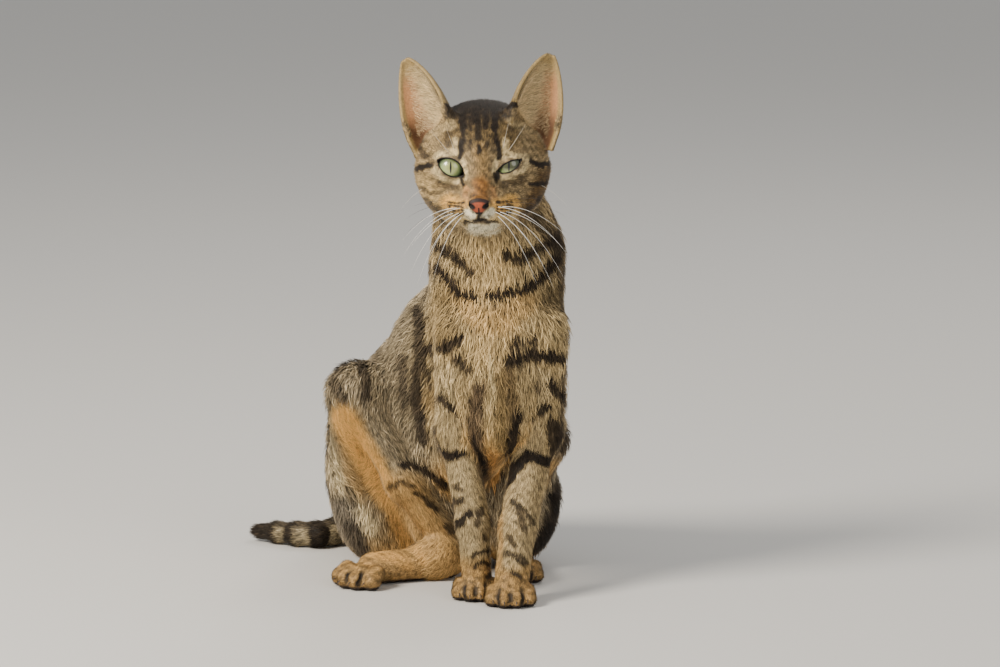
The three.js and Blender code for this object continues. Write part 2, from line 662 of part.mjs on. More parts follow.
addNode('tail_middle', ahead(behind(limbs.tail, 'tail_base'), 'tail_mid'), 'tail');
addNode('tail_tip', behind(limbs.tail, 'tail_mid'), 'tail');

export default cat;
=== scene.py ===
"""A young short-haired tabby cat, sitting.

One skin goes over the solids' flesh, with its coat, eyes, whiskers and claws. The masses of flesh repeat
the CAD model's own values, in its design frame in millimetres. The coat's tips reach the solids, and the
skin lies inside them by the depth of the coat.
"""

import math

import bmesh
import bpy
import numpy as np
import openvdb as vdb
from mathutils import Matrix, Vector


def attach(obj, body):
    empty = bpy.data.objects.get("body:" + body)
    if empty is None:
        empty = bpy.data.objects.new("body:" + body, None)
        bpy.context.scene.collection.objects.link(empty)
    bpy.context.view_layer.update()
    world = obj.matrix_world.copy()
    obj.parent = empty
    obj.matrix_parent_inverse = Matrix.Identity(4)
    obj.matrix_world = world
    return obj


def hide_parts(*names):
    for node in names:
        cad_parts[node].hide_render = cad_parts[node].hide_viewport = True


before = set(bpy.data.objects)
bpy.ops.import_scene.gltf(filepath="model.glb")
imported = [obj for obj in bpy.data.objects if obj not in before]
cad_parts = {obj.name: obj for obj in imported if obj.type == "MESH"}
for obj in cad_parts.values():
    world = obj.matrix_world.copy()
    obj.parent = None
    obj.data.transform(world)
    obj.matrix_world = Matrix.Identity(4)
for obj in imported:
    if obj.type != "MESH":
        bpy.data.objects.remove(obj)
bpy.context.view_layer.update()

# ---- Sizes and places, millimetres ----

ORIGIN = np.array([-65.75, 98.4, 0.7])  # design point that is the row's origin
GROUND = 0.7  # level at which the cat's weight flattens what rests on the ground
SKIN_GROUND = GROUND + 0.25  # the skin's own level there
VOXEL = 1.5  # grid that the skin is first meshed on
BAND = 4 * VOXEL  # how far from the skin the grid holds distances
GRID_LOW, GRID_HIGH = np.array([-190, -72, -5.0]), np.array([60, 250, 378.0])

FRAMES = {
    "world": {"at": [0, 0, 0], "yaw": 0, "pitch": 0, "roll": 0},
    "head": {"at": [-12, 6, 296], "yaw": -3, "pitch": 4, "roll": -2.2},
    "hips": {"at": [-68, 158, 62], "yaw": 28, "pitch": 0, "roll": 0},
}

DOWN = [0, 0.1, -1]
BACK = [-0.35, 0.5, -0.8]
THIGH = [0.1, 0.45, -0.9]
KNEE = [-0.3, -0.7, -0.45]
FAR_KNEE = [0.1, -0.25, -0.95]
# Kind, limb, width of blend, frame, shape, and the lie of the coat (None: along the cone).
FLESH = [
    ["cone", "trunk", 0, "world", [-8, 34, 268], 37, [-2, 44, 232], 43, DOWN],
    ["cone", "trunk", 18, "world", [-1, 44, 228], 42.5, [2, 34, 184], 43, DOWN],
    ["egg", "trunk", 20, "world", [-2, 22, 160], [34, 36, 48], DOWN],
    ["cone", "trunk", 22, "world", [-6, 52, 200], 38, [-26, 84, 158], 44, BACK],
    ["cone", "trunk", 24, "world", [-26, 84, 158], 44, [-50, 120, 112], 48, BACK],
    ["cone", "trunk", 24, "world", [-50, 120, 112], 48, [-68, 158, 66], 46, BACK],
    ["cone", "trunk", 18, "world", [-2, 20, 124], 24, [-28, 84, 92], 34, DOWN],
    ["egg", "trunk", 16, "world", [-36, 112, 50], [34, 38, 50], DOWN],
    ["egg", "trunk", 22, "hips", [0, 2, -7], [46, 46, 57], THIGH],
    ["cone", "thigh_right", 14, "world", [-85, 142, 62], 38, [-97, 88, 127], 25, KNEE],
    ["egg", "thigh_right", 14, "world", [-87, 144, 34], [30, 36, 37], THIGH],
    ["cone", "thigh_left", 16, "world", [-26, 162, 60], 36, [26, 88, 96], 22, FAR_KNEE],
    ["egg", "thigh_left", 16, "world", [8, 120, 45], [37, 41, 47], THIGH],
    ["cone", "foreleg_right", 12, "world", [-24, 12, 180], 20, [-28, 34, 112], 18, DOWN],
    ["cone", "foreleg_left", 12, "world", [27, 12, 182], 20, [26, 34, 112], 20.5, DOWN],
    ["cone", "foreleg_right", 9, "world", [-28, 34, 108], 17, [-18, 15, 50], 12.5, None],
    ["cone", "foreleg_left", 9, "world", [24, 34, 108], 18.5, [12, 2, 50], 13.5, None],
    ["cone", "foreleg_right", 6, "world", [-18, 15, 50], 12.5, [-15.5, 6, 14], 11, None],
    ["cone", "foreleg_left", 6, "world", [12, 2, 50], 13.5, [7.5, -12, 14], 12.5, None],
    ["cone", "shank_right", 8, "world", [-94, 84, 124], 19, [-64, 79, 68], 18, None],
    ["cone", "shank_right", 8, "world", [-64, 79, 68], 18, [-38, 76, 26], 14, None],
    ["egg", "shank_right", 8, "world", [-44.5, 66, 17.5], [19, 13, 16.5], [-0.6, -0.4, -0.6]],
    ["cone", "thigh_left", 8, "world", [28, 86, 96], 19, [8, 130, 28], 13, FAR_KNEE],
    ["cone", "foot_right", 6, "world", [-36, 75, 12.5], 13, [-86, 53, 12], 12.5, None],
    ["cone", "foot_left", 6, "world", [8, 130, 12], 12.5, [12, 68, 12], 12.5, None],
]
# The head, in its own frame: kind, width of blend and shape. A mass off the middle has a twin across it.
HEAD_FLESH = [
    ["egg", 16, [0, 12, 10], [39, 42, 32]],
    ["egg", 10, [25, 4, -5], [22, 28, 22]],
    ["egg", 10, [18, 0, -20], [22, 26, 18]],
    ["egg", 8, [17, -14, 14], [15, 12, 9]],
    ["cone", 9, [0, -18, 8], 14, [0, -41, -15], 9.5],
    ["egg", 9, [0, -24, -20], [24, 22, 15]],
    ["egg", 7, [10.5, -37, -24], [13, 13, 9.5]],
    ["egg", 4, [0, -47, -18], [8, 7, 7]],
    ["egg", 7, [0, -32, -34], [13.5, 13, 9.5]],
    ["cone", 12, [0, -12, -24], 20, [0, 22, -26], 31],
]
PAWS = [  # limb, ball of the foot, way the toes point (degrees), spread, toe radius
    ["foreleg_right", [-16.5, 5, 7], 0, 15.5, 7],
    ["foreleg_left", [7, -15, 7], 0, 17, 7.3],
    ["foot_right", [-95, 43, 8], 38, 19, 8.2],
    ["foot_left", [13, 60, 7], -4, 16, 7.1],
]
TOES = [[-0.68, 4.5], [-0.24, 9.5], [0.24, 9.5], [0.68, 4.5]]  # place across the paw, and reach
TOE_GAPS = (-0.46, 0.0, 0.46)
PAW_WIDE, PAW_LONG, PAW_TALL = 0.92, 11, 8.5  # half sizes of a paw's ball: the first in parts of its spread
TOE_BACK, TOE_RISE, TOE_ROOT = 6, 3.5, 0.85  # a toe's root: how far back and up it lies, and how thin it is
TAIL = [
    [[-84, 196, 44], 15], [[-82, 214, 24], 13.5], [[-87, 228, 14], 12.5], [[-99, 230, 12], 12],
    [[-108, 217, 11.5], 11.5], [[-112, 199, 11], 11.2], [[-118, 182, 11], 11], [[-129, 174, 10.5], 10.8],
    [[-143, 178, 10], 10.2], [[-158, 188, 9], 9.2], [[-172, 197, 8], 7.5],
]
EARS = [
    {"root": [29.2, 7, 22], "tip": [48.2, 16, 69.5], "half": 16.9, "side": 1},
    {"root": [-27.2, 7, 22], "tip": [-49.5, 16, 69.5], "half": 16.5, "side": -1},
]
EYE_RADIUS = 10.5
EYES = {"eye_left": [19.2, -19.5, 1.2], "eye_right": [-19.2, -19.5, 1.2]}
# Each eye's opening: half length, rise above and drop below its long axis, and tilt in degrees.
OPENINGS = {"eye_left": [8.6, 1.9, 3.6, 27], "eye_right": [9.7, 5.1, 4.9, -29]}

# Nose and mouth, in the head's frame: egg shapes by centre and radii, and lines for the side x > 0.
NOSE = [[0, -49.4, -18.2], [7.2, 3.8, 5.3]]
UPPER_LIP = [[0, -43.7, -25.5], [8.5, 6.8, 5]]
NOSTRIL = [[3.2, -54.8, -20.0], [5.8, -50.8, -18.4]]
LIP_GROOVE = [[0, -54.8, -21.5], [0, -52.6, -25.0], [0, -51.0, -29]]
MOUTH = [[0, -52.5, -28.8], [5, -50, -31], [10, -44, -32.3], [16, -34, -32.4]]


def rotation(name):
    """The rotation matrix of a frame: yaw about Z, then pitch about X, then roll about Y."""
    a, b, c = (math.radians(FRAMES[name][turn]) for turn in ("yaw", "pitch", "roll"))
    rz = np.array([[math.cos(a), -math.sin(a), 0], [math.sin(a), math.cos(a), 0], [0, 0, 1]])
    rx = np.array([[1, 0, 0], [0, math.cos(b), -math.sin(b)], [0, math.sin(b), math.cos(b)]])
    ry = np.array([[math.cos(c), 0, math.sin(c)], [0, 1, 0], [-math.sin(c), 0, math.cos(c)]])
    return rz @ rx @ ry


HEAD = rotation("head")
HEAD_AT = np.array(FRAMES["head"]["at"], float)


def parts_along(p, *ways):
    """The part of the coordinates p along each way."""
    return [p[0] * way[0] + p[1] * way[1] + p[2] * way[2] for way in ways]


def from_head(point):
    return HEAD @ np.array(point, float) + HEAD_AT


def to_head(x, y, z):
    """Points of the design frame, as coordinates in the head's frame."""
    return parts_along((x - HEAD_AT[0], y - HEAD_AT[1], z - HEAD_AT[2]), *HEAD.T)


def unit(v):
    v = np.array(v, float)
    return v / np.linalg.norm(v)


def toward(value, target, share):
    return value + share * (target - value)


def smooth_step(a, b, x):
    t = np.clip((x - a) / (b - a), 0, 1)
    return t * t * (3 - 2 * t)


def in_design(points):
    return points * 1000 + ORIGIN


def in_frame(points):
    return (points - ORIGIN) / 1000


# ---- Distances. Each shape gives a function of x, y, z and the box that holds it ----


def smooth_min(a, b, k):
    if k <= 0:
        return np.minimum(a, b)
    h = np.maximum(k - np.abs(a - b), 0) / k
    return np.minimum(a, b) - h * h * k * 0.25


def cone(a, ra, b, rb):
    a, b = np.array(a, float), np.array(b, float)
    d = b - a
    length2 = d @ d

    def distance(x, y, z):
        px, py, pz = x - a[0], y - a[1], z - a[2]
        t = np.clip((px * d[0] + py * d[1] + pz * d[2]) / length2, 0, 1)
        off = np.sqrt((px - t * d[0]) ** 2 + (py - t * d[1]) ** 2 + (pz - t * d[2]) ** 2)
        return off - (ra + (rb - ra) * t)

    r = max(ra, rb)
    return distance, np.minimum(a, b) - r, np.maximum(a, b) + r


def egg(centre, radii, axes):
    c, r = np.array(centre, float), np.array(radii, float)

    def distance(x, y, z):
        q = parts_along((x - c[0], y - c[1], z - c[2]), *axes.T)
        near = np.sqrt(sum((q[i] / r[i]) ** 2 for i in range(3)))
        slope = np.sqrt(sum((q[i] / r[i] ** 2) ** 2 for i in range(3))) + 1e-9
        return near * (near - 1) / slope

    return distance, c - r.max(), c + r.max()


def head_rows():
    """The head's masses as rows like those of FLESH, each twin straight after its own."""
    rows = []
    for kind, blend, (x, y, z), *shape in HEAD_FLESH:
        for side in (1, -1) if x else (1,):
            rows.append([kind, "head", blend, "head", [side * x, y, z], *shape, None])
    return rows


def paw_ways(degrees):
    """The way a paw's toes point, and the way across it."""
    turn = math.radians(degrees)
    ahead = np.array([-math.sin(turn), -math.cos(turn), 0])
    side = np.array([math.cos(turn), -math.sin(turn), 0])
    return ahead, side


def flesh_masses():
    """Every mass of flesh: limb, blend, distance, box and the lie of its coat."""
    masses = []
    for kind, limb, blend, place, *shape, lie in FLESH + head_rows():
        turn, at = rotation(place), np.array(FRAMES[place]["at"], float)
        if kind == "cone":
            a, b = turn @ np.array(shape[0]) + at, turn @ np.array(shape[2]) + at
            made = cone(a, shape[1], b, shape[3])
            lie = (b - a) if lie is None else lie
        else:
            made = egg(turn @ np.array(shape[0]) + at, shape[1], turn)
            lie = [0, 1, 0] if lie is None else lie
        masses.append((limb, blend, *made, unit(lie)))
    for limb, ball, degrees, spread, toe in PAWS:
        ahead, side = paw_ways(degrees)
        axes = np.array([side, -ahead, [0, 0, 1]]).T
        ball = np.array(ball, float)
        radii = [spread * PAW_WIDE, PAW_LONG, PAW_TALL]
        masses.append((limb, 5, *egg(ball + [0, 0, 0.8], radii, axes), ahead))
        for across, reach in TOES:
            tip = ball + side * across * spread + ahead * reach
            root = tip - ahead * TOE_BACK + [0, 0, TOE_RISE]
            masses.append((limb, 2, *cone(root, toe * TOE_ROOT, tip - [0, 0, 0.8], toe), ahead))
    for (a, ra), (b, rb) in zip(TAIL, TAIL[1:]):
        masses.append(("tail", 4, *cone(a, ra, b, rb), unit(np.array(b) - a)))
    return masses


MASSES = flesh_masses()
LIMBS = sorted({mass[0] for mass in MASSES})

# ---- Ears ----

EAR_ROOT = 9  # how far the ear's wall runs down into the head
# How far the wall's middle bows back, in parts of its half width, and how far it leans forward at the root.
EAR_BOW, EAR_LEAN = 0.55, 6
EAR_THICK, EAR_THINNING = 1.3, 0.1  # the wall's half thickness at the root, and what it loses by the tip


def ear_frame(ear):
    """An ear's root, length, and its up, across and face directions."""
    root, end = from_head(ear["root"]), from_head(ear["tip"])
    length = np.linalg.norm(end - root)
    up = (end - root) / length
    face = HEAD @ np.array([ear["side"] * 0.42, -0.9, 0.05])
    face = unit(face - up * (face @ up))
    return root, length, up, np.cross(face, up), face


def ear_section(ear, t):
    """At height t: the angle an ear's wall turns to each edge, its radius, and where its curve is centred."""
    t = np.clip(t, 0, 1)
    half = ear["half"] * (1 - t**1.8) ** 0.65 * (1 + 0.12 * np.sin(np.pi * t)) + 0.3
    angle = np.radians(96 - 46 * t)
    radius = half / np.sin(np.minimum(angle, np.pi / 2))
    return angle, radius, EAR_BOW * half - radius - EAR_LEAN * (1 - t)


def ear_local(ear, x, y, z):
    """Where points lie on an ear.

    Gives the height from 0 to 1 and in millimetres, the ear's length, the angle round its wall from -1 to 1,
    the distance from the wall's middle, and the side of the wall: above 0 behind it and below 0 within it.
    """
    root, length, up, across, face = ear_frame(ear)
    w, u, v = parts_along((x - root[0], y - root[1], z - root[2]), up, across, -face)
    t = w / length
    angle, radius, centre = ear_section(ear, t)
    cy = v - centre
    turn = np.arctan2(u, cy)
    rho = np.sqrt(u * u + cy * cy)
    ex, ey = radius * np.sin(angle), radius * np.cos(angle)
    ends = np.sqrt((np.abs(u) - ex) ** 2 + (cy - ey) ** 2)
    off = np.where(np.abs(turn) < angle, np.abs(rho - radius), ends)
    return t, w, length, turn / angle, off, rho - radius


def ear_point(ear, t, outward):
    """A point on an ear's outer rim (outward 1) or inner rim (-1), at height t."""
    root, length, up, across, face = ear_frame(ear)
    angle, radius, centre = ear_section(ear, t)
    out = across * -outward * ear["side"] * radius * math.sin(angle)
    return root + up * length * t + out - face * (centre + radius * math.cos(angle))


def ear_wall(ear):
    """The ear's skin: a wall that thins towards the tip and its edges."""
    root, length, up, _, _ = ear_frame(ear)

    def distance(x, y, z):
        t, w, _, _, off, _ = ear_local(ear, x, y, z)
        thick = EAR_THICK - EAR_THINNING * np.clip(t, 0, 1)
        return np.maximum(np.maximum(off - thick, w - length + 0.8), -w - EAR_ROOT)

    end = root + up * length
    reach = ear["half"] + 10
    return distance, np.minimum(root, end) - reach, np.maximum(root, end) + reach


def ear_steps(ear):
    """The wall, the fold down to the brow, the pocket on the outer edge and the hollow at the root."""
    root, _, up, across, face = ear_frame(ear)
    axes = np.array([across, face, up]).T
    side = ear["side"]
    brow = from_head([side * 15.5, -8, 32])
    pocket = ear_point(ear, 0.2, 1) + face * 1.2 + across * side * 2.2
    hollow = root + up * 6 + face * 3.5
    return [
        ("join", 4.5, *ear_wall(ear)),
        ("join", 6, *cone(ear_point(ear, 0.16, -1), 2.0, brow, 1.4)),
        ("join", 2, *egg(pocket, [1.2, 2.0, 5.5], axes)),
        ("cut", 4, *egg(hollow, [7.5, 5.5, 13], axes)),
    ]


def on_ear(points, room=1.6):
    """For each ear, where points lie on it, and which points those are."""
    out = []
    for ear in EARS:
        t, w, length, around, off, side = ear_local(ear, *points.T)
        here = (off < room) & (w > -11) & (w < length + 2) & ((np.abs(around) < 1.25) | (t > 0.85))
        out.append((ear, here, t, around, side))
    return out


def on_any_ear(points):
    return np.any([here for _, here, *_ in on_ear(points)], axis=0)


# ---- Eyes, nose, mouth and toes ----

GAZE = unit([-0.02, -1, 0.14])
EYE_SIDE = unit(np.cross([0, 0, 1.0], GAZE))
EYE_OVER = np.cross(GAZE, EYE_SIDE)
LID_RIM = 0.95  # width of the bare black rim round an eye's opening


def almond(name, x, y, z):
    """Distance to the edge of an eye's opening, seen along the gaze, and the depth along the gaze."""
    half, rise, drop, degrees = OPENINGS[name]
    tilt = math.radians(degrees)
    along = EYE_SIDE * math.cos(tilt) + EYE_OVER * math.sin(tilt)
    above = EYE_OVER * math.cos(tilt) - EYE_SIDE * math.sin(tilt)
    centre = from_head(EYES[name])
    u, v, w = parts_along((x - centre[0], y - centre[1], z - centre[2]), along, above, GAZE)
    big, small = (half**2 + rise**2) / (2 * rise), (half**2 + drop**2) / (2 * drop)
    upper = np.hypot(u, v - (rise - big)) - big
    lower = np.hypot(u, v + (drop - small)) - small
    return np.maximum(upper, lower), w


def opening(name):
    def distance(x, y, z):
        edge, depth = almond(name, x, y, z)
        return np.maximum(edge, 3 - depth)

    centre = from_head(EYES[name])
    return distance, centre - 17, centre + 17


def stroke_3d(points, radius):
    """Distance to a chain of points in the head's frame."""
    ends = [from_head(p) for p in points]
    parts = [cone(a, radius, b, radius) for a, b in zip(ends, ends[1:])]

    def distance(x, y, z):
        return np.minimum.reduce([part[0](x, y, z) for part in parts])

    low = np.min([part[1] for part in parts], axis=0)
    return distance, low, np.max([part[2] for part in parts], axis=0)


def both_sides(line):
    """A line of the head's frame on the side x > 0, and its twin."""
    return [[[side * x, y, z] for x, y, z in line] for side in (1, -1)]


def head_egg(centre, radii):
    return egg(from_head(centre), radii, HEAD)


def toe_creases():
    """The two ends of each furrow between neighbouring toes."""
    ends = []
    for _, ball, degrees, spread, _ in PAWS:
        ahead, side = paw_ways(degrees)
        for across in TOE_GAPS:
            reach = 17.5 - 6 * abs(across)
            start = np.array(ball) + side * across * spread * 1.02 + ahead * reach + [0, 0, -3]
            ends.append((start, start - ahead * 10 + [0, 0, 14]))
    return ends


# ---- The skin: the flesh drawn in by the coat's depth, then the ears, lids, nose, mouth and toes ----

COAT_DEPTH = {"body": 4.4, "head": 3.0, "face": 1.4, "foreleg": 2.4, "foot": 1.5, "tail": 2.8}
ROOM = 9  # how far past a shape's box its step still matters
FAR = 30.0  # distance that stands for nothing near
EVERYWHERE = np.full(3, 1e4)
SETTLE_ROUNDS, SETTLE_MOST = 2, 1.5  # rounds of settling a point on the skin, and how far each may move it


def coat_depth(x, y, z):
    """How far the skin lies inside the tips of the coat."""
    hx, hy, hz = to_head(x, y, z)
    near = np.clip((66 - np.sqrt(hx**2 + (hy - 8) ** 2 + (hz + 4) ** 2)) / 22, 0, 1)
    face = np.clip((14 - hy) / 30, 0, 1)
    head = COAT_DEPTH["head"] - (COAT_DEPTH["head"] - COAT_DEPTH["face"]) * face
    depth = toward(COAT_DEPTH["body"], head, near)
    low = np.clip((120 - z) / 70, 0, 1) * np.clip((62 - y - 0.35 * z) / 24, 0, 1)
    depth = toward(depth, COAT_DEPTH["foreleg"], low)
    foot = np.clip((30 - z) / 12, 0, 1) * np.clip((108 - y) / 24, 0, 1)
    depth = toward(depth, COAT_DEPTH["foot"], foot)
    tail = np.clip((-100 - x) / 8, 0, 1) * np.clip((32 - z) / 8, 0, 1) * np.clip((y - 150) / 10, 0, 1)
    rear = np.clip((y - 206) / 6, 0, 1)
    return toward(depth, COAT_DEPTH["tail"], np.maximum(tail, rear))


def skin_steps():
    """The steps that make the skin, in order: join, cut or draw in, blend, distance and box."""
    steps = [("join", blend, *made) for _, blend, *made, _ in MASSES]
    steps.append(("draw in", 0, coat_depth, -EVERYWHERE, EVERYWHERE))
    for ear in EARS:
        steps += ear_steps(ear)
    for name, centre in EYES.items():
        steps.append(("join", 5, *head_egg(centre, [EYE_RADIUS + 1.0] * 3)))
        steps.append(("cut", 0.5, *opening(name)))
    steps.append(("join", 1.6, *head_egg(*NOSE)))
    steps.append(("join", 4, *head_egg(*UPPER_LIP)))
    steps += [("cut", 0.8, *stroke_3d(line, 1.3)) for line in both_sides(NOSTRIL)]
    steps.append(("cut", 1.2, *stroke_3d(LIP_GROOVE, 0.5)))
    steps += [("cut", 1.6, *stroke_3d(line, 0.55)) for line in both_sides(MOUTH)]
    steps += [("cut", 2.2, *cone(start, 0.6, end, 0.4)) for start, end in toe_creases()]
    return steps


STEPS = skin_steps()


def apply_step(kind, blend, value, other):
    if kind == "join":
        return smooth_min(value, other, blend)
    if kind == "cut":
        return -smooth_min(-value, other, blend)
    return value + other


def skin_at(points):
    """The skin's distance at a list of points."""
    x, y, z = points.T
    value = np.full(len(points), FAR)
    for kind, blend, distance, low, high in STEPS:
        inside = np.all((points > low - ROOM - blend) & (points < high + ROOM + blend), axis=1)
        if inside.any():
            value[inside] = apply_step(kind, blend, value[inside], distance(x[inside], y[inside], z[inside]))
    return np.maximum(value, SKIN_GROUND - z)


def skin_grid():
    """The skin's distance on a grid of voxels."""
    n = np.ceil((GRID_HIGH - GRID_LOW) / VOXEL).astype(int)
    grid = np.full(n, FAR, np.float32)
    axes = [GRID_LOW[i] + VOXEL * np.arange(n[i]) for i in range(3)]
    for kind, blend, distance, start, end in STEPS:
        a = np.clip(np.floor((start - ROOM - blend - GRID_LOW) / VOXEL).astype(int), 0, n)
        b = np.clip(np.ceil((end + ROOM + blend - GRID_LOW) / VOXEL).astype(int) + 1, 0, n)
        if np.any(b <= a):
            continue
        block = tuple(slice(i, j) for i, j in zip(a, b))
        x, y, z = np.meshgrid(*(axes[i][a[i]:b[i]] for i in range(3)), indexing="ij", sparse=True)
        grid[block] = apply_step(kind, blend, grid[block], distance(x, y, z).astype(np.float32))
    grid = np.maximum(grid, (SKIN_GROUND - axes[2])[None, None, :].astype(np.float32))
    return np.clip(grid, -BAND, BAND)


def slopes(points, step=0.15):
    """The unit slope of the skin's distance at points."""
    out = np.empty_like(points)
    for axis in range(3):
        offset = np.zeros(3)
        offset[axis] = step
        out[:, axis] = skin_at(points + offset) - skin_at(points - offset)
    return out / (np.linalg.norm(out, axis=1)[:, None] + 1e-9)


def settle(points):
    """Points moved onto the skin along its slope."""
    for _ in range(SETTLE_ROUNDS):
        move = np.clip(skin_at(points), -SETTLE_MOST, SETTLE_MOST)
        points = points - move[:, None] * slopes(points)
    return points


def fine_zone(points):
    """How many times the skin is divided again: once on face, ears and paws, twice at the eyes and nose."""
    x, y, z = points.T
    hx, hy, hz = to_head(x, y, z)
    face = (hz > -42) & (hy < -6) & (hz < 34)
    ears = (hz > 16) & (np.abs(hx) > 14)
    paws = (z < 17) & (y < 66)
    near_eye = np.zeros(len(points), bool)
    for name in EYES:
        edge, depth = almond(name, x, y, z)
        near_eye |= (np.abs(edge) < 4) & (depth > 2)
    nose = (hy < -42) & (hz > -34)
    return (face | ears | paws).astype(int) + (near_eye | nose)


def divide(mesh, level):
    """Divides the edges of a fine zone of at least this level, and settles it on the skin."""
    bm = bmesh.new()
    bm.from_mesh(mesh)
    bm.verts.ensure_lookup_table()
    zone = fine_zone(np.array([v.co[:] for v in bm.verts])) >= level
    edges = [e for e in bm.edges if zone[e.verts[0].index] and zone[e.verts[1].index]]
    bmesh.ops.subdivide_edges(bm, edges=edges, cuts=1, use_grid_fill=True)
    bmesh.ops.triangulate(bm, faces=[f for f in bm.faces if len(f.verts) > 4])
    bm.verts.ensure_lookup_table()
    spots = np.array([v.co[:] for v in bm.verts])
    chosen = fine_zone(spots) >= level
    spots[chosen] = settle(spots[chosen])
    for v, spot in zip(bm.verts, spots):
        v.co = spot
    bm.to_mesh(mesh)
    bm.free()


def read(data, name, width, kind=float):
    """One value of every item of a mesh's data, as rows of the given width."""
    values = np.empty(len(data) * width, kind)
    data.foreach_get(name, values)
    return values.reshape(-1, width)


def plain_mesh(name, points, faces):
    """A smooth mesh from points of the row's frame."""
    mesh = bpy.data.meshes.new(name)
    mesh.from_pydata(points, [], faces)
    mesh.polygons.foreach_set("use_smooth", [True] * len(mesh.polygons))
    mesh.update()
    return mesh


def skin_mesh():
    """The skin as one mesh, in the row's frame, in metres."""
    grid = vdb.FloatGrid()
    grid.background = BAND
    grid.copyFromArray(skin_grid())
    points, quads = grid.convertToQuads(0.0)
    points = settle(np.array(points, float) * VOXEL + GRID_LOW)
    mesh = plain_mesh("skin", points.tolist(), quads.tolist())
    for level in (1, 2):
        divide(mesh, level)
    mesh.vertices.foreach_set("co", in_frame(read(mesh.vertices, "co", 3)).ravel())
    mesh.polygons.foreach_set("use_smooth", [True] * len(mesh.polygons))
    mesh.update()
    return mesh


# ---- Where the coat's colours lie ----

# The view, for the camera and for marks placed in its pixels: its height above the floor and its distance.
VIEW_UP, VIEW_FAR = math.radians(9.0), 3000.0
VIEW_AIM = np.array([0, 0, 182.4])
VIEW_PIXELS, VIEW_CENTRE = 4500.0, (500.0, 333.5)
IMAGE_WIDTH = 1000

DARK = (40, 33, 27)
GREY = (155, 140, 113)
TAN = (206, 176, 124)
CREAM = (238, 212, 158)
WHITE = (252, 240, 204)
ORANGE = (252, 193, 110)
RUST = (150, 98, 44)
OCHRE = (190, 150, 92)
SMOKE = (112, 104, 92)
KHAKI = (162, 138, 92)
FRONT_BUFF = (188, 162, 114)
LEG_BUFF = (196, 170, 122)
TOE_TAN = (194, 152, 92)
# painted shade where the feet meet the floor
FOOT_EDGE_SHADE = (58, 50, 46)
NAPE_BROWN = (148, 126, 88)
TAIL_BROWN = (156, 142, 112)
HEAD_BROWN = (152, 130, 94)
JAW_CREAM = (206, 184, 142)
EAR_BUFF = (204, 176, 128)
EAR_SHADE = (92, 64, 44)
EAR_HAIR = (228, 204, 158)
FLESH_PINK = (184, 134, 92)
LEATHER = (158, 78, 52)
LEATHER_WING = (96, 50, 38)
LEATHER_EDGE = (44, 30, 28)
# painted shade in the nostrils, the nose's groove and under the leather
NOSTRIL_SHADE = (18, 11, 10)
LOWER_NOSE_SHADE = (24, 14, 12)
LID_BLACK = (20, 15, 13)
MOUTH_BLACK = (26, 16, 15)
PAD_BLACK = (52, 44, 42)

# Patches and marks that the view shows, some of them painted shade. Each has a half width and a path in the
# view's pixels.
SHOULDER_R = "trunk foreleg_right"
SHOULDER_L = "trunk foreleg_left"
HAUNCH_R = "trunk thigh_right shank_right"
PATCHES = [  # limbs, colour, strength, half width, path
    ["trunk", TAN, 0.75, 24, [(492, 255), (492, 300), (492, 345)]],
    ["trunk", OCHRE, 0.5, 12, [(460, 300), (475, 318), (500, 322), (525, 305)]],
    ["trunk", CREAM, 0.8, 2.2, [(491, 358), (493, 378), (494, 402)]],
    # painted shade: the chest's middle below the cream line, and the creases between the chest and each
    # foreleg
    ["trunk", (136, 114, 76), 0.85, 9, [(505, 378), (505, 410), (503, 440)]],
    [SHOULDER_R, (78, 64, 50), 0.8, 7, [(481, 388), (476, 416), (480, 448), (486, 474)]],
    [SHOULDER_L, (122, 102, 72), 0.7, 6, [(508, 372), (511, 400), (512, 430)]],
    ["trunk", (205, 150, 84), 0.8, 5, [(492, 450), (494, 480), (492, 500)]],
    ["trunk thigh_right", (134, 121, 97), 0.8, 24, [(400, 320), (395, 380), (400, 430)]],
    [HAUNCH_R, (228, 208, 164), 0.85, 7, [(326, 418), (329, 450), (340, 480), (356, 505), (372, 528)]],
    [HAUNCH_R, ORANGE, 1.0, 13.5, [(344, 418), (357, 442), (374, 470), (386, 492)]],
    [HAUNCH_R + " thigh_left", (232, 186, 118), 0.95, 24, [(404, 498), (420, 526), (440, 556), (454, 566)]],
    [HAUNCH_R, ORANGE, 0.6, 7, [(384, 490), (398, 530), (420, 560)]],
    ["foot_right shank_right", ORANGE, 0.6, 6, [(372, 552), (392, 558), (408, 566)]],
    ["thigh_right trunk", SMOKE, 0.8, 13, [(343, 508), (350, 530), (358, 552)]],
    ["foreleg_right", (200, 178, 136), 0.7, 12, [(455, 375), (450, 420), (462, 480), (470, 540)]],
    ["foreleg_left", (206, 182, 138), 0.7, 12, [(540, 380), (532, 440), (520, 500), (512, 560)]],
    # painted shade down the cat's left side and its far hind leg, away from the light
    [
        SHOULDER_L + " thigh_left", (78, 68, 56), 0.9, 9,
        [(568, 380), (568, 420), (564, 470), (558, 510), (546, 552)],
    ],
    # painted shade on the cat's left edge of the chest, away from the light
    ["trunk", (112, 96, 68), 0.85, 14, [(552, 296), (556, 340)]],
    [SHOULDER_R, (146, 124, 86), 0.85, 14, [(444, 298), (445, 336)]],
    ["foreleg_left", (214, 164, 98), 0.6, 4, [(500, 500), (500, 540), (498, 565)]],
]
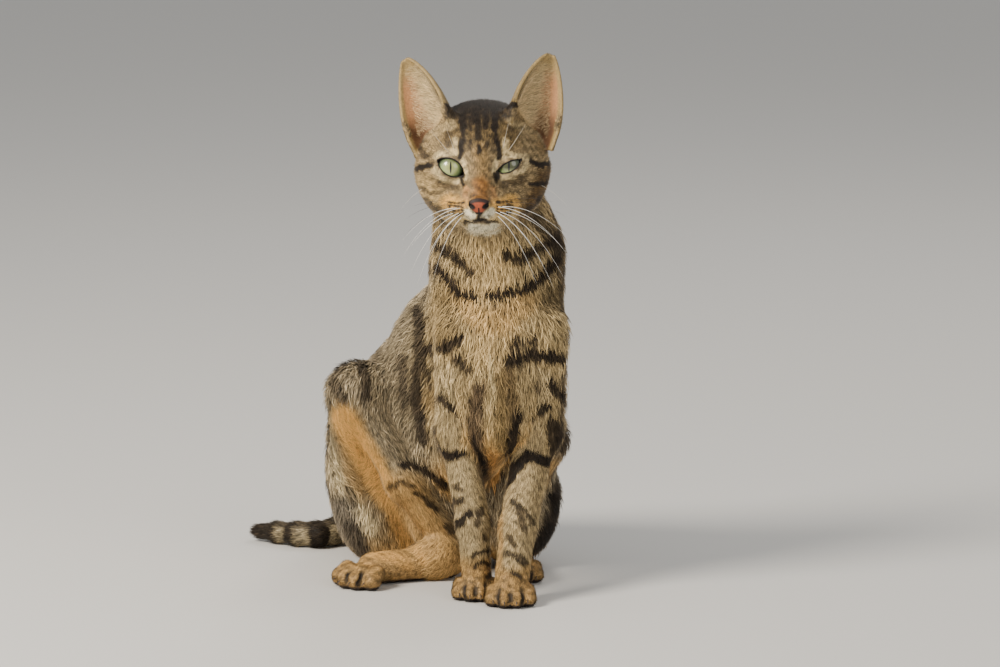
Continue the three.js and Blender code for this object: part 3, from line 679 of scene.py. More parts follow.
HEAD_PATCHES = [
    [(90, 74, 48), 0.75, 15, [(456, 134), (480, 128), (506, 134)]],
    [(206, 176, 122), 0.75, 12, [(426, 186), (436, 205), (446, 222)]],
    [(94, 72, 44), 0.9, 11, [(548, 178), (540, 196), (528, 216)]],
    [CREAM, 0.85, 3.2, [(436, 156), (446, 152), (457, 153)]],
    [CREAM, 0.85, 3.0, [(455, 140), (456, 152)]],
    [CREAM, 0.8, 3.0, [(505, 142), (505, 155), (516, 155), (526, 158)]],
    [CREAM, 1.0, 3.2, [(434, 169), (441, 177), (450, 181), (458, 181), (464, 177), (465, 169), (462, 160)]],
    [CREAM, 0.95, 3.0, [(528, 164), (522, 170), (512, 176), (502, 178), (494, 172), (495, 164), (500, 158)]],
    [(148, 120, 78), 0.8, 8, [(480, 150), (480, 178)]],
    [RUST, 0.8, 9, [(480, 186), (480, 196)]],
    [(206, 150, 92), 0.7, 3.4, [(466, 190), (465, 202)]],
    [(206, 150, 92), 0.7, 3.4, [(493, 190), (495, 202)]],
    [(250, 192, 100), 0.95, 8.5, [(449, 203), (460, 207)]],
    [(250, 192, 100), 0.95, 8.5, [(511, 204), (498, 208)]],
    [(246, 214, 150), 0.85, 4.5, [(446, 213), (458, 217), (468, 220)]],
    [(246, 214, 150), 0.85, 4.5, [(514, 213), (504, 217), (494, 220)]],
    [WHITE, 1.0, 4.5, [(467, 212), (473, 216)]],
    [WHITE, 1.0, 4.5, [(491, 212), (486, 216)]],
    [WHITE, 1.0, 6.5, [(473, 229), (484, 231), (494, 229)]],
    # painted shade on the throat under the chin
    [(160, 148, 128), 0.7, 6, [(478, 242), (492, 243)]],
    [(188, 164, 120), 0.8, 5, [(430, 135), (440, 130), (452, 124)]],
    [(196, 174, 130), 0.7, 4, [(512, 122), (524, 128), (538, 138)]],
]
MARKS = {  # limbs: strength, half width, path
    "trunk": [
        (0.85, 4.6, [(441, 246), (455, 254), (464, 263), (472, 272)]),
        (0.85, 5.6, [(507, 257), (520, 258), (535, 250), (551, 240)]),
        (0.95, 4.4, [(440, 268), (451, 280), (461, 293), (475, 297)]),
        (0.95, 5.0, [(491, 296), (512, 294), (530, 284), (545, 272), (554, 260)]),
        # painted shade down the cat's left side of the neck and shoulder
        (0.5, 7, [(556, 236), (562, 280), (566, 330)]),
        (0.45, 3, [(459, 328), (476, 333)]),
        (0.3, 3, [(494, 310), (512, 315)]),
        (0.7, 5.5, [(420, 312), (422, 350), (417, 400), (426, 440)]),
        (0.45, 5, [(404, 360), (406, 405)]),
    ],
    SHOULDER_R: [
        (0.85, 5.4, [(430, 350), (446, 348), (460, 341)]),
        (0.75, 4, [(457, 358), (464, 363), (471, 369)]),
        (0.6, 3.2, [(428, 368), (432, 386)]),
    ],
    # painted shade in the gap between the forelegs and the chest
    "trunk foreleg_right foreleg_left": [
        (0.9, 3.0, [(476, 436), (480, 456), (486, 478)]),
        (0.9, 4.2, [(516, 416), (510, 440), (504, 480), (501, 492)]),
    ],
    "foreleg_right": [
        (0.85, 3.8, [(442, 396), (452, 405), (464, 416), (471, 434), (476, 454)]),
        (0.75, 4.6, [(428, 412), (434, 430)]),
        (0.95, 4.8, [(432, 440), (438, 451), (450, 456), (470, 450)]),
        (0.6, 3, [(455, 486), (461, 489)]),
        (0.75, 3.4, [(450, 501), (461, 501)]),
        (0.9, 4.2, [(457, 526), (463, 520), (469, 514)]),
        (0.65, 3, [(481, 508), (477, 524)]),
        (0.6, 2.4, [(484, 536), (484, 540)]),
        (0.75, 2.4, [(473, 556), (480, 552), (488, 551)]),
        (0.85, 2.4, [(475, 566), (483, 563), (489, 564)]),
    ],
    "foreleg_right foreleg_left": [
        (0.75, 2.4, [(487, 578), (493, 571)]),
    ],
    SHOULDER_L: [
        (0.85, 3, [(511, 345), (522, 345), (535, 338)]),
        (0.9, 5.8, [(508, 361), (530, 354), (548, 357), (564, 359)]),
        (0.8, 7, [(552, 424), (556, 452)]),
    ],
    "foreleg_left": [
        (0.7, 4, [(530, 378), (536, 390)]),
        (0.85, 5, [(549, 384), (560, 396)]),
        (0.85, 4, [(519, 424), (531, 416), (546, 407)]),
        (0.95, 5.2, [(506, 484), (516, 468), (530, 455), (552, 463)]),
        (0.7, 3, [(513, 502), (519, 509)]),
        (0.65, 3, [(519, 515), (524, 530)]),
        (0.6, 3, [(524, 512), (532, 522)]),
        (0.65, 2.6, [(510, 536), (514, 545)]),
        (0.65, 3, [(505, 553), (515, 556), (526, 563)]),
        (0.75, 2.4, [(512, 572), (520, 577)]),
    ],
    "foreleg_left thigh_left": [
        (0.8, 6, [(552, 498), (557, 512)]),
    ],
    "thigh_left": [
        (0.8, 7, [(532, 556), (543, 536), (552, 528)]),
    ],
    HAUNCH_R: [
        (0.85, 4, [(404, 466), (418, 466), (432, 472), (446, 484)]),
        (0.6, 2.8, [(390, 488), (401, 481), (413, 487)]),
        (0.75, 3.2, [(417, 494), (425, 499), (436, 512)]),
    ],
    HAUNCH_R + " thigh_left": [
        (0.5, 3.2, [(446, 526), (452, 532)]),
    ],
    "thigh_right": [
        (0.65, 5, [(357, 356), (364, 374), (366, 398)]),
        (0.5, 5, [(334, 384), (345, 398)]),
    ],
    "thigh_right trunk": [
        (0.45, 6, [(352, 528), (360, 542), (364, 552)]),
        (0.5, 4, [(350, 488), (356, 502)]),
    ],
    # painted shade on the cat's left side, over the far hind leg
    "thigh_left trunk": [
        (0.5, 9, [(558, 470), (554, 510), (546, 545)]),
    ],
    # painted shade on the cat's left side of the throat, below the head
    "head trunk": [
        (0.5, 7, [(535, 222), (545, 232), (556, 250)]),
    ],
    "head": [
        (1.0, 10, [(452, 99), (478, 98), (494, 98), (512, 99)]),
        (0.95, 3.4, [(464, 106), (463, 128)]),
        (0.8, 2.0, [(463, 132), (463, 140)]),
        (0.95, 2.2, [(460, 158), (461, 148), (461, 141)]),
        (0.95, 3.4, [(495, 106), (494.5, 130)]),
        (0.8, 2.0, [(495, 132), (496, 140)]),
        (0.95, 2.2, [(499, 159), (499, 150), (497.5, 142)]),
        (0.95, 4.0, [(477, 104), (476, 122)]),
        (0.9, 3.0, [(486, 106), (485, 126)]),
        (0.7, 2.4, [(471, 112), (470, 130)]),
        (0.7, 3.0, [(479, 128), (478, 138)]),
        (0.9, 2.6, [(479, 147), (479, 152)]),
        (0.6, 1.8, [(470, 142), (470, 150)]),
        (0.6, 1.8, [(488, 140), (487, 148)]),
        (0.95, 2.6, [(414, 169), (422, 168), (430, 165)]),
        (0.95, 2.8, [(531, 162), (540, 165), (549, 164), (557, 162)]),
        (0.5, 2.0, [(421, 188), (430, 192), (440, 193)]),
        (0.85, 2.2, [(530, 184), (540, 184), (548, 182), (556, 176)]),
        (0.7, 3.0, [(527, 212), (536, 206), (546, 194)]),
        (0.55, 3.0, [(426, 200), (436, 208), (446, 214)]),
        (0.35, 4.0, [(440, 184), (450, 186), (456, 188)]),
        (0.35, 4.0, [(504, 184), (514, 182), (522, 180)]),
        (0.95, 1.6, [(462.5, 176), (463, 181), (464, 186)]),
        (0.95, 1.8, [(496.5, 174), (496, 181)]),
        (1.0, 1.1, [(464, 221.5), (471, 222.5), (480, 219.5), (489, 222.5), (497, 221.5)]),
        (1.0, 1.1, [(480, 213), (480, 220)]),
        (0.6, 3, [(420, 150), (428, 158)]),
    ],
}
WHISKER_ROWS = (203.0, 206.6, 210.2, 213.8)
WHISKER_SPOTS = [(449.5, 0), (453.5, 0), (457.5, 0), (461.5, 0), (498, 1), (502, 1), (506, 1), (510, 1)]
for row in WHISKER_ROWS:
    for spot, rise in WHISKER_SPOTS:
        MARKS["head"].append((0.95, 1.0, [(spot, row - rise), (spot + 1.2, row - rise)]))


def view_pixels(points):
    """Where points of the design frame show in the view, in its pixels."""
    x, y, z = points[:, 0], points[:, 1], points[:, 2] - VIEW_AIM[2]
    far = VIEW_FAR + y * math.cos(VIEW_UP) - z * math.sin(VIEW_UP)
    u = VIEW_CENTRE[0] + VIEW_PIXELS * x / far
    v = VIEW_CENTRE[1] - VIEW_PIXELS * (y * math.sin(VIEW_UP) + z * math.cos(VIEW_UP)) / far
    return u, v


def ripple(points, size, seed):
    """Smooth noise between about -1 and 1 that changes over about the given size."""
    draw = np.random.default_rng(seed)
    total = np.zeros(len(points))
    for _ in range(6):
        wave = draw.normal(size=3)
        wave *= 2 * math.pi / size / np.linalg.norm(wave)
        total += np.sin(points @ wave + draw.uniform(0, 2 * math.pi))
    return total / 3.2


def path_distance(u, v, path):
    """Distance in pixels from a path through the view's pixels."""
    best = np.full(len(u), 1e3)
    for (au, av), (bu, bv) in zip(path, path[1:]):
        du, dv = bu - au, bv - av
        t = np.clip(((u - au) * du + (v - av) * dv) / (du * du + dv * dv + 1e-9), 0, 1)
        best = np.minimum(best, np.hypot(u - au - t * du, v - av - t * dv))
    return best


def nearest_masses(points):
    """The limb nearest to each point, and the lie of the coat there."""
    x, y, z = points.T
    away = np.full((len(MASSES), len(points)), 60.0, np.float32)
    for i, (_, _, distance, low, high, _) in enumerate(MASSES):
        near = np.all((points > low - 25) & (points < high + 25), axis=1)
        away[i, near] = distance(x[near], y[near], z[near])
    limb = np.array([LIMBS.index(mass[0]) for mass in MASSES])[away.argmin(axis=0)]
    share = np.exp(-(away - away.min(axis=0)) / 4)
    lie = np.zeros((len(points), 3))
    hx, hy, hz = to_head(x, y, z)
    from_nose = np.stack([hx, hy + 58, hz + 15], axis=1)
    from_nose /= np.linalg.norm(from_nose, axis=1)[:, None]
    from_nose = from_nose @ HEAD.T
    for i, mass in enumerate(MASSES):
        along = from_nose if mass[0] == "head" else mass[-1][None, :]
        lie += share[i][:, None] * along
    return limb, lie


def mix(colour, other, amount):
    return colour + (np.array(other, float) - colour) * np.asarray(amount)[:, None]


def plain(tint, count):
    return np.tile(np.array(tint, float), (count, 1))


def cover(colour, chosen, other):
    return np.where(chosen[:, None], other, colour)


def within_white(colour):
    """Colours no brighter than white, scaled down as a whole so that their hue stays."""
    return np.maximum(colour / np.maximum(1, colour.max(axis=1) / 252)[:, None], 3)


def linear(colour):
    c = np.clip(colour / 255, 0, 1)
    return np.where(c <= 0.04045, c / 12.92, ((c + 0.055) / 1.055) ** 2.4)


class Coat:
    """Points of the coat or the skin, and the colours painted on them in washes."""

    def __init__(self, points, normals, limb):
        self.points, self.normals = points, normals
        self.name = np.array(LIMBS)[limb]
        self.colour = plain(GREY, len(points))
        self.forward = smooth_step(-0.1, 0.5, -normals[:, 1])
        self.below = smooth_step(0.1, 0.7, -normals[:, 2])

    def on(self, *limbs):
        return np.isin(self.name, limbs)

    def wash(self, tint, amount):
        self.colour = mix(self.colour, tint, amount)


def paint_ground(coat):
    """The ground colour by region: pale front, warm underside, and ochre feet, with painted shade in the
    furrows between the toes and along the feet's bottom edge by the floor.
    """
    x, y, z = coat.points.T
    front = smooth_step(0.1, 0.8, -coat.normals[:, 1]) * smooth_step(60, 110, z) * (y < 60)
    coat.wash(FRONT_BUFF, 0.75 * front)
    nape = coat.on("trunk") * smooth_step(196, 240, z) * (1 - front)
    coat.wash(NAPE_BROWN, 0.9 * nape)
    warm = ~coat.on("tail", "head") * smooth_step(150, 110, z)
    coat.wash(ORANGE, 0.6 * coat.below * warm)
    legs = coat.on("foreleg_right", "foreleg_left")
    coat.wash(LEG_BUFF, 0.75 * legs)
    feet = coat.on("foot_right", "foot_left") | (legs & (z < 30))
    coat.wash(OCHRE, 0.85 * feet * smooth_step(34, 22, z))
    crease = np.min([cone(start, 0, end, 0)[0](x, y, z) for start, end in toe_creases()], axis=0)
    # painted shade in the furrows between the toes
    coat.wash(DARK, 0.85 * feet * smooth_step(2.8, 0.8, crease) * smooth_step(17, 10, z))
    coat.wash(TOE_TAN, 0.6 * feet * smooth_step(0.1, 0.8, coat.normals[:, 2]) * (crease > 3))
    # painted shade along the bottom of the feet, where they meet the floor
    coat.wash(FOOT_EDGE_SHADE, 0.8 * feet * smooth_step(4.2, 2.6, z) * (coat.normals[:, 1] < 0.3))


# Millimetres from one dark band to the next.
STRIPE_STEP, BAR_STEP, RING_STEP, CROWN_STEP, CHEEK_STEP = 25, 23, 19, 10.5, 15
SPINE = unit([-0.25, 0.51, -0.83])  # way that the back runs


def bands(place, step):
    return np.sin(2 * math.pi * place / step)


def paint_stripes(coat):
    """Broken stripes across the back and flanks, a dark spine, and bars round the legs."""
    points, body = coat.points, coat.on("trunk", "thigh_right", "thigh_left")
    x, y, z = points.T
    along = points @ SPINE + 7 * ripple(points, 70, 3) + 3 * ripple(points, 28, 13)
    broken = 0.45 * ripple(points, 20, 4) + 0.25 * ripple(points, 45, 14)
    wide = smooth_step(0.15, 0.8, bands(along, STRIPE_STEP) + broken)
    coat.wash(DARK, 0.72 * (wide * body * (1 - 0.9 * coat.forward) * (1 - 0.5 * coat.below)))
    ridge = np.abs((x + 8) + 0.32 * (y - 34) + 2.5 * ripple(points, 26, 15)) * (y > 50)
    spine = smooth_step(12, 3, ridge) * (coat.normals[:, 1] > -0.1) * smooth_step(52, 66, y)
    coat.wash(DARK, 0.7 * body * spine)
    bars = smooth_step(0.3, 0.8, bands(z + 0.3 * x, BAR_STEP) + 0.3 * ripple(points, 14, 5))
    legs = coat.on("foreleg_right", "foreleg_left")
    coat.wash(DARK, 0.75 * bars * legs * (1 - coat.forward) * smooth_step(28, 40, z))
    hind = coat.on("shank_right", "thigh_left") & (z < 60)
    coat.wash(DARK, 0.5 * bars * hind * (1 - coat.forward))


def tail_place(points):
    """How far along the tail's middle line points lie, and how long that line is."""
    place = np.zeros(len(points))
    best = np.full(len(points), 1e3)
    run = 0.0
    for (a, _), (b, _) in zip(TAIL, TAIL[1:]):
        a, b = np.array(a, float), np.array(b, float)
        d = b - a
        t = np.clip((points - a) @ d / (d @ d), 0, 1)
        off = np.linalg.norm(points - a - t[:, None] * d, axis=1)
        place = np.where(off < best, run + t * np.linalg.norm(d), place)
        best = np.minimum(best, off)
        run += np.linalg.norm(d)
    return place, run


def paint_tail(coat):
    """Rings, a dark line above, and a black tip."""
    place, run = tail_place(coat.points)
    turns = np.cos(2 * math.pi * (run - place - 30) / RING_STEP)
    rings = smooth_step(-0.2, 0.4, turns + 0.25 * ripple(coat.points, 9, 6))
    dark = np.maximum(rings * (place > 20), smooth_step(run - 20, run - 15, place))
    dark = np.maximum(dark, 0.75 * smooth_step(0.45, 0.9, coat.normals[:, 2]))
    tail = coat.on("tail")
    coat.wash(TAIL_BROWN, 0.85 * tail)
    coat.wash(DARK, 0.88 * tail * dark)


def paint_head(coat):
    """Crown stripes that run back over the nape, barred cheeks and a pale jaw."""
    hx, hy, hz = to_head(*coat.points.T)
    head = coat.on("head")
    wide = np.abs(hx)
    coat.wash(HEAD_BROWN, 0.9 * head)
    crown = smooth_step(0.15, 0.75, np.cos(2 * math.pi * hx / CROWN_STEP) + 0.3 * ripple(coat.points, 9, 7))
    coat.wash(DARK, 0.8 * crown * head * smooth_step(8, 24, hz) * smooth_step(26, 18, wide))
    coat.wash(DARK, 0.9 * head * smooth_step(27, 34, hz) * smooth_step(24, 16, wide))
    nape = head * smooth_step(22, 34, hy) * smooth_step(26, 14, wide) * (hz > 0)
    coat.wash(DARK, 0.6 * nape * crown)
    cheek = smooth_step(0.3, 0.8, bands(hz + 0.35 * hy + 3, CHEEK_STEP))
    sides = smooth_step(13, 22, wide)
    coat.wash(DARK, 0.75 * cheek * head * sides * smooth_step(0, 14, hy) * smooth_step(22, 8, hz))
    coat.wash(JAW_CREAM, 0.7 * head * smooth_step(-24, -36, hz))


def paint_view(coat):
    """The patches and marks that the view shows, on what faces it."""
    u, v = view_pixels(coat.points)
    u = u + 1.2 * ripple(coat.points, 7, 8)
    v = v + 1.2 * ripple(coat.points, 7, 9)
    toward_view = -coat.normals[:, 1] * math.cos(VIEW_UP) + coat.normals[:, 2] * math.sin(VIEW_UP)
    seen = smooth_step(-0.05, 0.3, toward_view)
    for limbs, tint, strength, half, path in PATCHES + [["head", *row] for row in HEAD_PATCHES]:
        edge = smooth_step(1.5 * half, 0.5 * half, path_distance(u, v, path))
        coat.wash(tint, strength * seen * edge * coat.on(*limbs.split()))
    for limbs, rows in MARKS.items():
        chosen = coat.on(*limbs.split())
        for strength, half, path in rows:
            edge = smooth_step(half + 1.4, half - 1.2, path_distance(u, v, path))
            coat.wash(DARK, strength * seen * edge * chosen)


def paint_ears(coat):
    """Khaki behind the ears and along their rims, and pink skin within."""
    count = len(coat.points)
    for ear, here, t, around, inside in on_ear(coat.points):
        back = inside > 0
        shade = 0.9 + 0.06 * ripple(coat.points, 8, 12)[:, None] - 0.25 * smooth_step(0.45, 0.0, t)[:, None]
        coat.colour = cover(coat.colour, here & back, plain(KHAKI, count) * shade)
        outer = -around * ear["side"]
        pink = plain(FLESH_PINK, count)
        pink = mix(pink, EAR_BUFF, smooth_step(0.45, 0.0, outer + 0.35 * (t - 0.5)))
        pink = mix(pink, EAR_SHADE, 0.85 * smooth_step(0.4, 0.08, t) * smooth_step(0.0, 0.5, outer))
        pink = mix(pink, KHAKI, smooth_step(0.62, 0.9, t))
        pink = mix(pink, KHAKI, smooth_step(0.8, 0.95, np.abs(around)))
        coat.colour = cover(coat.colour, here & ~back, pink)


def coat_colours(points, normals, limb):
    """The coat's colour at points: ground colour by region, stripes all round, then what the view shows."""
    coat = Coat(points, normals, limb)
    for paint in (paint_ground, paint_stripes, paint_tail, paint_head, paint_view):
        paint(coat)
    # flecks of ticking, larger than single tufts
    coat.colour = coat.colour * (1 + 0.17 * ripple(points, 5, 10) + 0.12 * ripple(points, 2.4, 11))[:, None]
    paint_ears(coat)
    return within_white(coat.colour)


# ---- Bare places: nose leather, lid rims, the mouth's line and the pads ----


def bare_nose(points):
    """The bare leather: widest across the nostrils' wings, drawn in to the groove below."""
    hx, hy, hz = to_head(*points.T)
    wide = 6.6 - 4.6 * smooth_step(-18.5, -24.2, hz)
    return (hy < -47.8) & (hz < -13.6 - 0.05 * hx**2) & (hz > -24.2) & (np.abs(hx) < wide)


def lid_edge(points):
    """The least distance from an eye's opening, seen along its gaze, for points beside that eye."""
    best = np.full(len(points), 50.0)
    for name in EYES:
        edge, depth = almond(name, *points.T)
        best = np.minimum(best, np.where(depth > 0, edge, 50.0))
    return best


def leather_colours(points):
    """The nose leather: reddish in the middle, darker at its wings, and black as painted shade in the
    nostrils and groove and along its lower edge.
    """
    hx, _, hz = to_head(*points.T)
    nostril = np.min([stroke_3d(line, 0)[0](*points.T) for line in both_sides(NOSTRIL)], axis=0)
    leather = plain(LEATHER, len(points))
    leather = mix(leather, LEATHER_WING, smooth_step(2.0, 5.6, np.abs(hx)))
    leather = mix(leather, LEATHER_EDGE, smooth_step(-16.6, -15.2, hz + 0.04 * hx**2))
    # painted shade in the nostrils, the groove and along the leather's lower edge
    leather = mix(leather, NOSTRIL_SHADE, smooth_step(2.3, 1.3, nostril))
    leather = mix(leather, LOWER_NOSE_SHADE, smooth_step(0.7, 0.2, np.abs(hx)) * (hz < -19.5))
    return mix(leather, LOWER_NOSE_SHADE, smooth_step(-22.2, -23.6, hz))


def skin_colours(points, normals, limb):
    """The coat's colours, darkened as painted shade under the coat, and those of the bare places."""
    colour = coat_colours(points, normals, limb)
    # painted shade under the coat: the skin is darker, less where the coat is pale, and not on the ears
    under = 0.72 + 0.16 * smooth_step(190, 230, colour.mean(axis=1))[:, None]
    colour = cover(colour, ~on_any_ear(points), colour * under)
    colour = cover(colour, bare_nose(points), leather_colours(points))
    colour = cover(colour, lid_edge(points) < LID_RIM, LID_BLACK)
    hx, hy, hz = to_head(*points.T)
    mouth = (hy < -40) & (np.abs(hz + 30.5) < 1.0) & (np.abs(hx) < 11) & (limb == LIMBS.index("head"))
    colour = cover(colour, mouth, MOUTH_BLACK)
    pads = (normals[:, 2] < -0.5) & (points[:, 2] < 4) & (points[:, 1] < 70)
    return cover(colour, pads, PAD_BLACK)


# ---- Materials ----


def fill(tree, made, inputs):
    """Gives each named input of a node its value, or links it to another node's output."""
    for key, value in inputs.items():
        if isinstance(value, bpy.types.NodeSocket):
            tree.links.new(value, made.inputs[key])
        else:
            made.inputs[key].default_value = value


def node(tree, kind, inputs, **settings):
    made = tree.nodes.new("ShaderNode" + kind)
    for key, value in settings.items():
        setattr(made, key, value)
    fill(tree, made, inputs)
    return made


def material(name, roughness, build, *details):
    """A material whose builder gives the inputs of its main shader."""
    made = bpy.data.materials.new(name)
    made.use_nodes = True
    shader = made.node_tree.nodes["Principled BSDF"]
    shader.inputs["Roughness"].default_value = roughness
    fill(made.node_tree, shader, build(made.node_tree, *details))
    return made


def solid_noise(tree, scale, detail):
    """Fine noise fixed to the object."""
    place = node(tree, "TexCoord", {})
    return node(tree, "TexNoise", {"Vector": place.outputs["Object"], "Scale": scale, "Detail": detail})


def scaled(tree, vector, factor):
    return node(tree, "VectorMath", {0: vector, "Scale": factor}, operation="SCALE").outputs[0]


def tinted(tree, noise, low, high):
    """The coat's colour, made lighter and darker by fine noise."""
    colour = node(tree, "Attribute", {}, attribute_name="coat_colour")
    limits = {"From Min": 0.3, "From Max": 0.7, "To Min": low, "To Max": high}
    spread = node(tree, "MapRange", {"Value": noise.outputs["Fac"], **limits})
    return scaled(tree, colour.outputs["Color"], spread.outputs["Result"])


def coat_material(tree):
    return {
        "Base Color": tinted(tree, solid_noise(tree, 900, 4), 0.82, 1.16),
        "Specular IOR Level": 0.12,
        "Sheen Weight": 0.05,
        "Sheen Roughness": 0.4,
    }


def skin_material(tree):
    noise = solid_noise(tree, 700, 4)
    grain = node(tree, "Bump", {"Strength": 0.4, "Distance": 0.0004, "Height": noise.outputs["Fac"]})
    return {
        "Base Color": tinted(tree, noise, 0.8, 1.15),
        "Specular IOR Level": 0.3,
        "Normal": grain.outputs["Normal"],
    }


def set_stops(ramp, stops):
    """Gives a colour ramp its places and colours."""
    elements = ramp.color_ramp.elements
    while len(elements) < len(stops):
        elements.new(0.5)
    for element, (spot, _) in zip(elements, stops):
        element.position = spot
    for element, (_, tint) in zip(elements, stops):
        element.color = (*linear(np.array(tint, float)), 1)


def streaked_material(tree, tint, spread):
    """One colour, streaked by fine noise."""
    ramp = node(tree, "ValToRGB", {"Fac": solid_noise(tree, 400, 3).outputs["Fac"]})
    set_stops(ramp, [(0.3, np.array(tint, float) * (1 - spread)), (0.7, tint)])
    return {"Base Color": ramp.outputs["Color"]}


PUPIL = (0.058, 0.36)  # half width and half height of the pupil, in parts of the eyeball's radius
PUPIL_BLACK = (0.004, 0.004, 0.004, 1)
IRIS = [
    (0.02, (142, 146, 80)), (0.36, (168, 176, 112)), (0.62, (142, 160, 106)), (0.78, (82, 98, 66)),
    (0.87, (24, 24, 18)), (0.93, (70, 56, 44)), (0.99, (150, 120, 100)),
]
# Where on each eyeball the upper lid's shade begins, and how dark it is.
LID_SHADE = {"eye_left": (-0.42, 0.16), "eye_right": (0.1, 0.45)}


def eye_material(tree, start, depth):
    """A pale green iris with fine rays, a thin upright pupil and a dark rim, under a wet cornea.

    The shade of the upper lid falls from one to the given depth above a height on the eyeball.
    """
    place = node(tree, "Attribute", {}, attribute_name="iris_place")
    split = node(tree, "SeparateXYZ", {0: place.outputs["Vector"]})
    flat = node(tree, "CombineXYZ", {0: split.outputs[0], 1: split.outputs[1]})
    radius = node(tree, "VectorMath", {0: flat.outputs[0]}, operation="LENGTH")
    rays = node(tree, "VectorMath", {0: flat.outputs[0]}, operation="NORMALIZE")
    noise = node(tree, "TexNoise", {"Vector": rays.outputs[0], "Scale": 7, "Detail": 5})
    shifted = {0: noise.outputs["Fac"], 1: 0.12, 2: radius.outputs["Value"]}
    ramp = node(tree, "ValToRGB", {"Fac": node(tree, "Math", shifted, operation="MULTIPLY_ADD").outputs[0]})
    set_stops(ramp, IRIS)
    slit = node(tree, "VectorMath", {0: flat.outputs[0], 1: (*PUPIL, 1)}, operation="DIVIDE")
    across = node(tree, "VectorMath", {0: slit.outputs[0]}, operation="LENGTH")
    edge = {"Value": across.outputs["Value"], "From Min": 0.85, "From Max": 1.15}
    mask = node(tree, "MapRange", edge).outputs["Result"]
    layers = {"Factor": mask, "A": PUPIL_BLACK, "B": ramp.outputs["Color"]}
    blend = node(tree, "Mix", layers, data_type="RGBA")
    fall = {"From Min": start, "From Max": start + 0.3, "To Min": 1.0, "To Max": depth}
    shade = node(tree, "MapRange", {"Value": split.outputs[1], **fall}, interpolation_type="SMOOTHSTEP")
    return {
        "Base Color": scaled(tree, blend.outputs["Result"], shade.outputs["Result"]),
        "Coat Weight": 1.0,
        "Coat Roughness": 0.02,
    }


# ---- The coat ----

TUFT_BEND = (0.40, 0.08)  # rise of a tuft's lower and upper half, in parts of its length
TUFT_SWING = np.radians(11)  # how far the coat strays from its lie
LENGTH_SPREAD, WIDTH_SPREAD = 0.22, 0.2
PALE_DRAW, DARK_DRAW = 0.3, 0.43  # a draw below the first gives a pale tip, and below the second a dark one
TUFT_SINK = 0.5  # how far a tuft's root lies below the skin
SHORT = 9.2  # a tuft shorter than this, in millimetres, is a plain spike
MOST_LOCKS, MOST_SPIKES = 19500, 48000  # tufts of each kind in one piece of the coat
LOCK = [
    [0, 1, 2], [0, 4, 1], [0, 3, 4], [1, 5, 2], [1, 4, 5],
    [2, 3, 0], [2, 5, 3], [3, 6, 4], [4, 6, 5], [5, 6, 3],
]
SPIKE = [[0, 1, 2], [0, 3, 1], [1, 3, 2], [2, 3, 0]]
PATCH = 0.003  # width of each tuft's patch on the OFBake map, and where its corners lie there
LOCK_SPOTS = [[-0.5, -0.5], [0.5, -0.5], [0, -0.4], [-0.4, 0], [0.4, 0], [0, 0.1], [0, 0.5]]
SPIKE_SPOTS = [[-0.5, -0.5], [0.5, -0.5], [0, -0.4], [0, 0.5]]
CHART_GAP = 8

# Each kind of coat: tufts to the square millimetre, their length and their width, in millimetres.
KINDS = {
    "body": (1.05, 8.4, 0.64), "chest": (0.95, 11.0, 0.66), "foreleg": (1.9, 5.0, 0.56),
    "hind leg": (1.2, 5.5, 0.66), "foot": (3.0, 2.4, 0.42), "inner thigh": (1.7, 5.2, 0.5),
    "head": (1.9, 5.0, 0.5), "face": (4.2, 2.7, 0.34), "muzzle": (5.5, 1.6, 0.28),
    "beside the ear": (3.6, 2.6, 0.36), "tail": (1.5, 5.0, 0.62),
}
EAR_DENSITY = 2.6
INNER_THIGH = [(344, 418), (357, 442), (374, 470), (396, 492), (420, 530), (450, 560)]  # in the view's pixels

REGIONS = {
    "coat_head": ["head"],
    "coat_trunk": ["trunk"],
    "coat_thighs": ["thigh_right", "thigh_left", "shank_right"],
    "coat_forelegs": ["foreleg_right", "foreleg_left"],
    "coat_feet": ["foot_right", "foot_left"],
    "coat_tail": ["tail"],
}


def charts(points, normals, limb):
    """An unwrap of the skin: a chart for each limb and each way it faces, seen along that way, in rows."""
    axis = np.abs(normals).argmax(axis=1)
    facing = axis * 2 + (normals[np.arange(len(points)), axis] > 0)
    key = limb * 6 + facing
    boxes = []
    for k in np.unique(key):
        a, b = [i for i in range(3) if i != (k % 6) // 2]
        mine = np.flatnonzero(key == k)
        flat = points[mine][:, [a, b]]
        flat = flat - flat.min(axis=0)
        boxes.append((*flat.max(axis=0), mine, flat))
    boxes.sort(key=lambda box: -box[1])
    area = sum((w + CHART_GAP) * (h + CHART_GAP) for w, h, _, _ in boxes)
    row = math.sqrt(area) * 1.12
    left = top = tall = 0.0
    uv = np.zeros((len(points), 2))
    for w, h, mine, flat in boxes:
        if left + w + CHART_GAP > row:
            left, top, tall = 0.0, top + tall + CHART_GAP, 0.0
        uv[mine] = flat + [left + CHART_GAP / 2, top + CHART_GAP / 2]
        left += w + CHART_GAP
        tall = max(tall, h)
    return uv / max(row, top + tall + CHART_GAP)


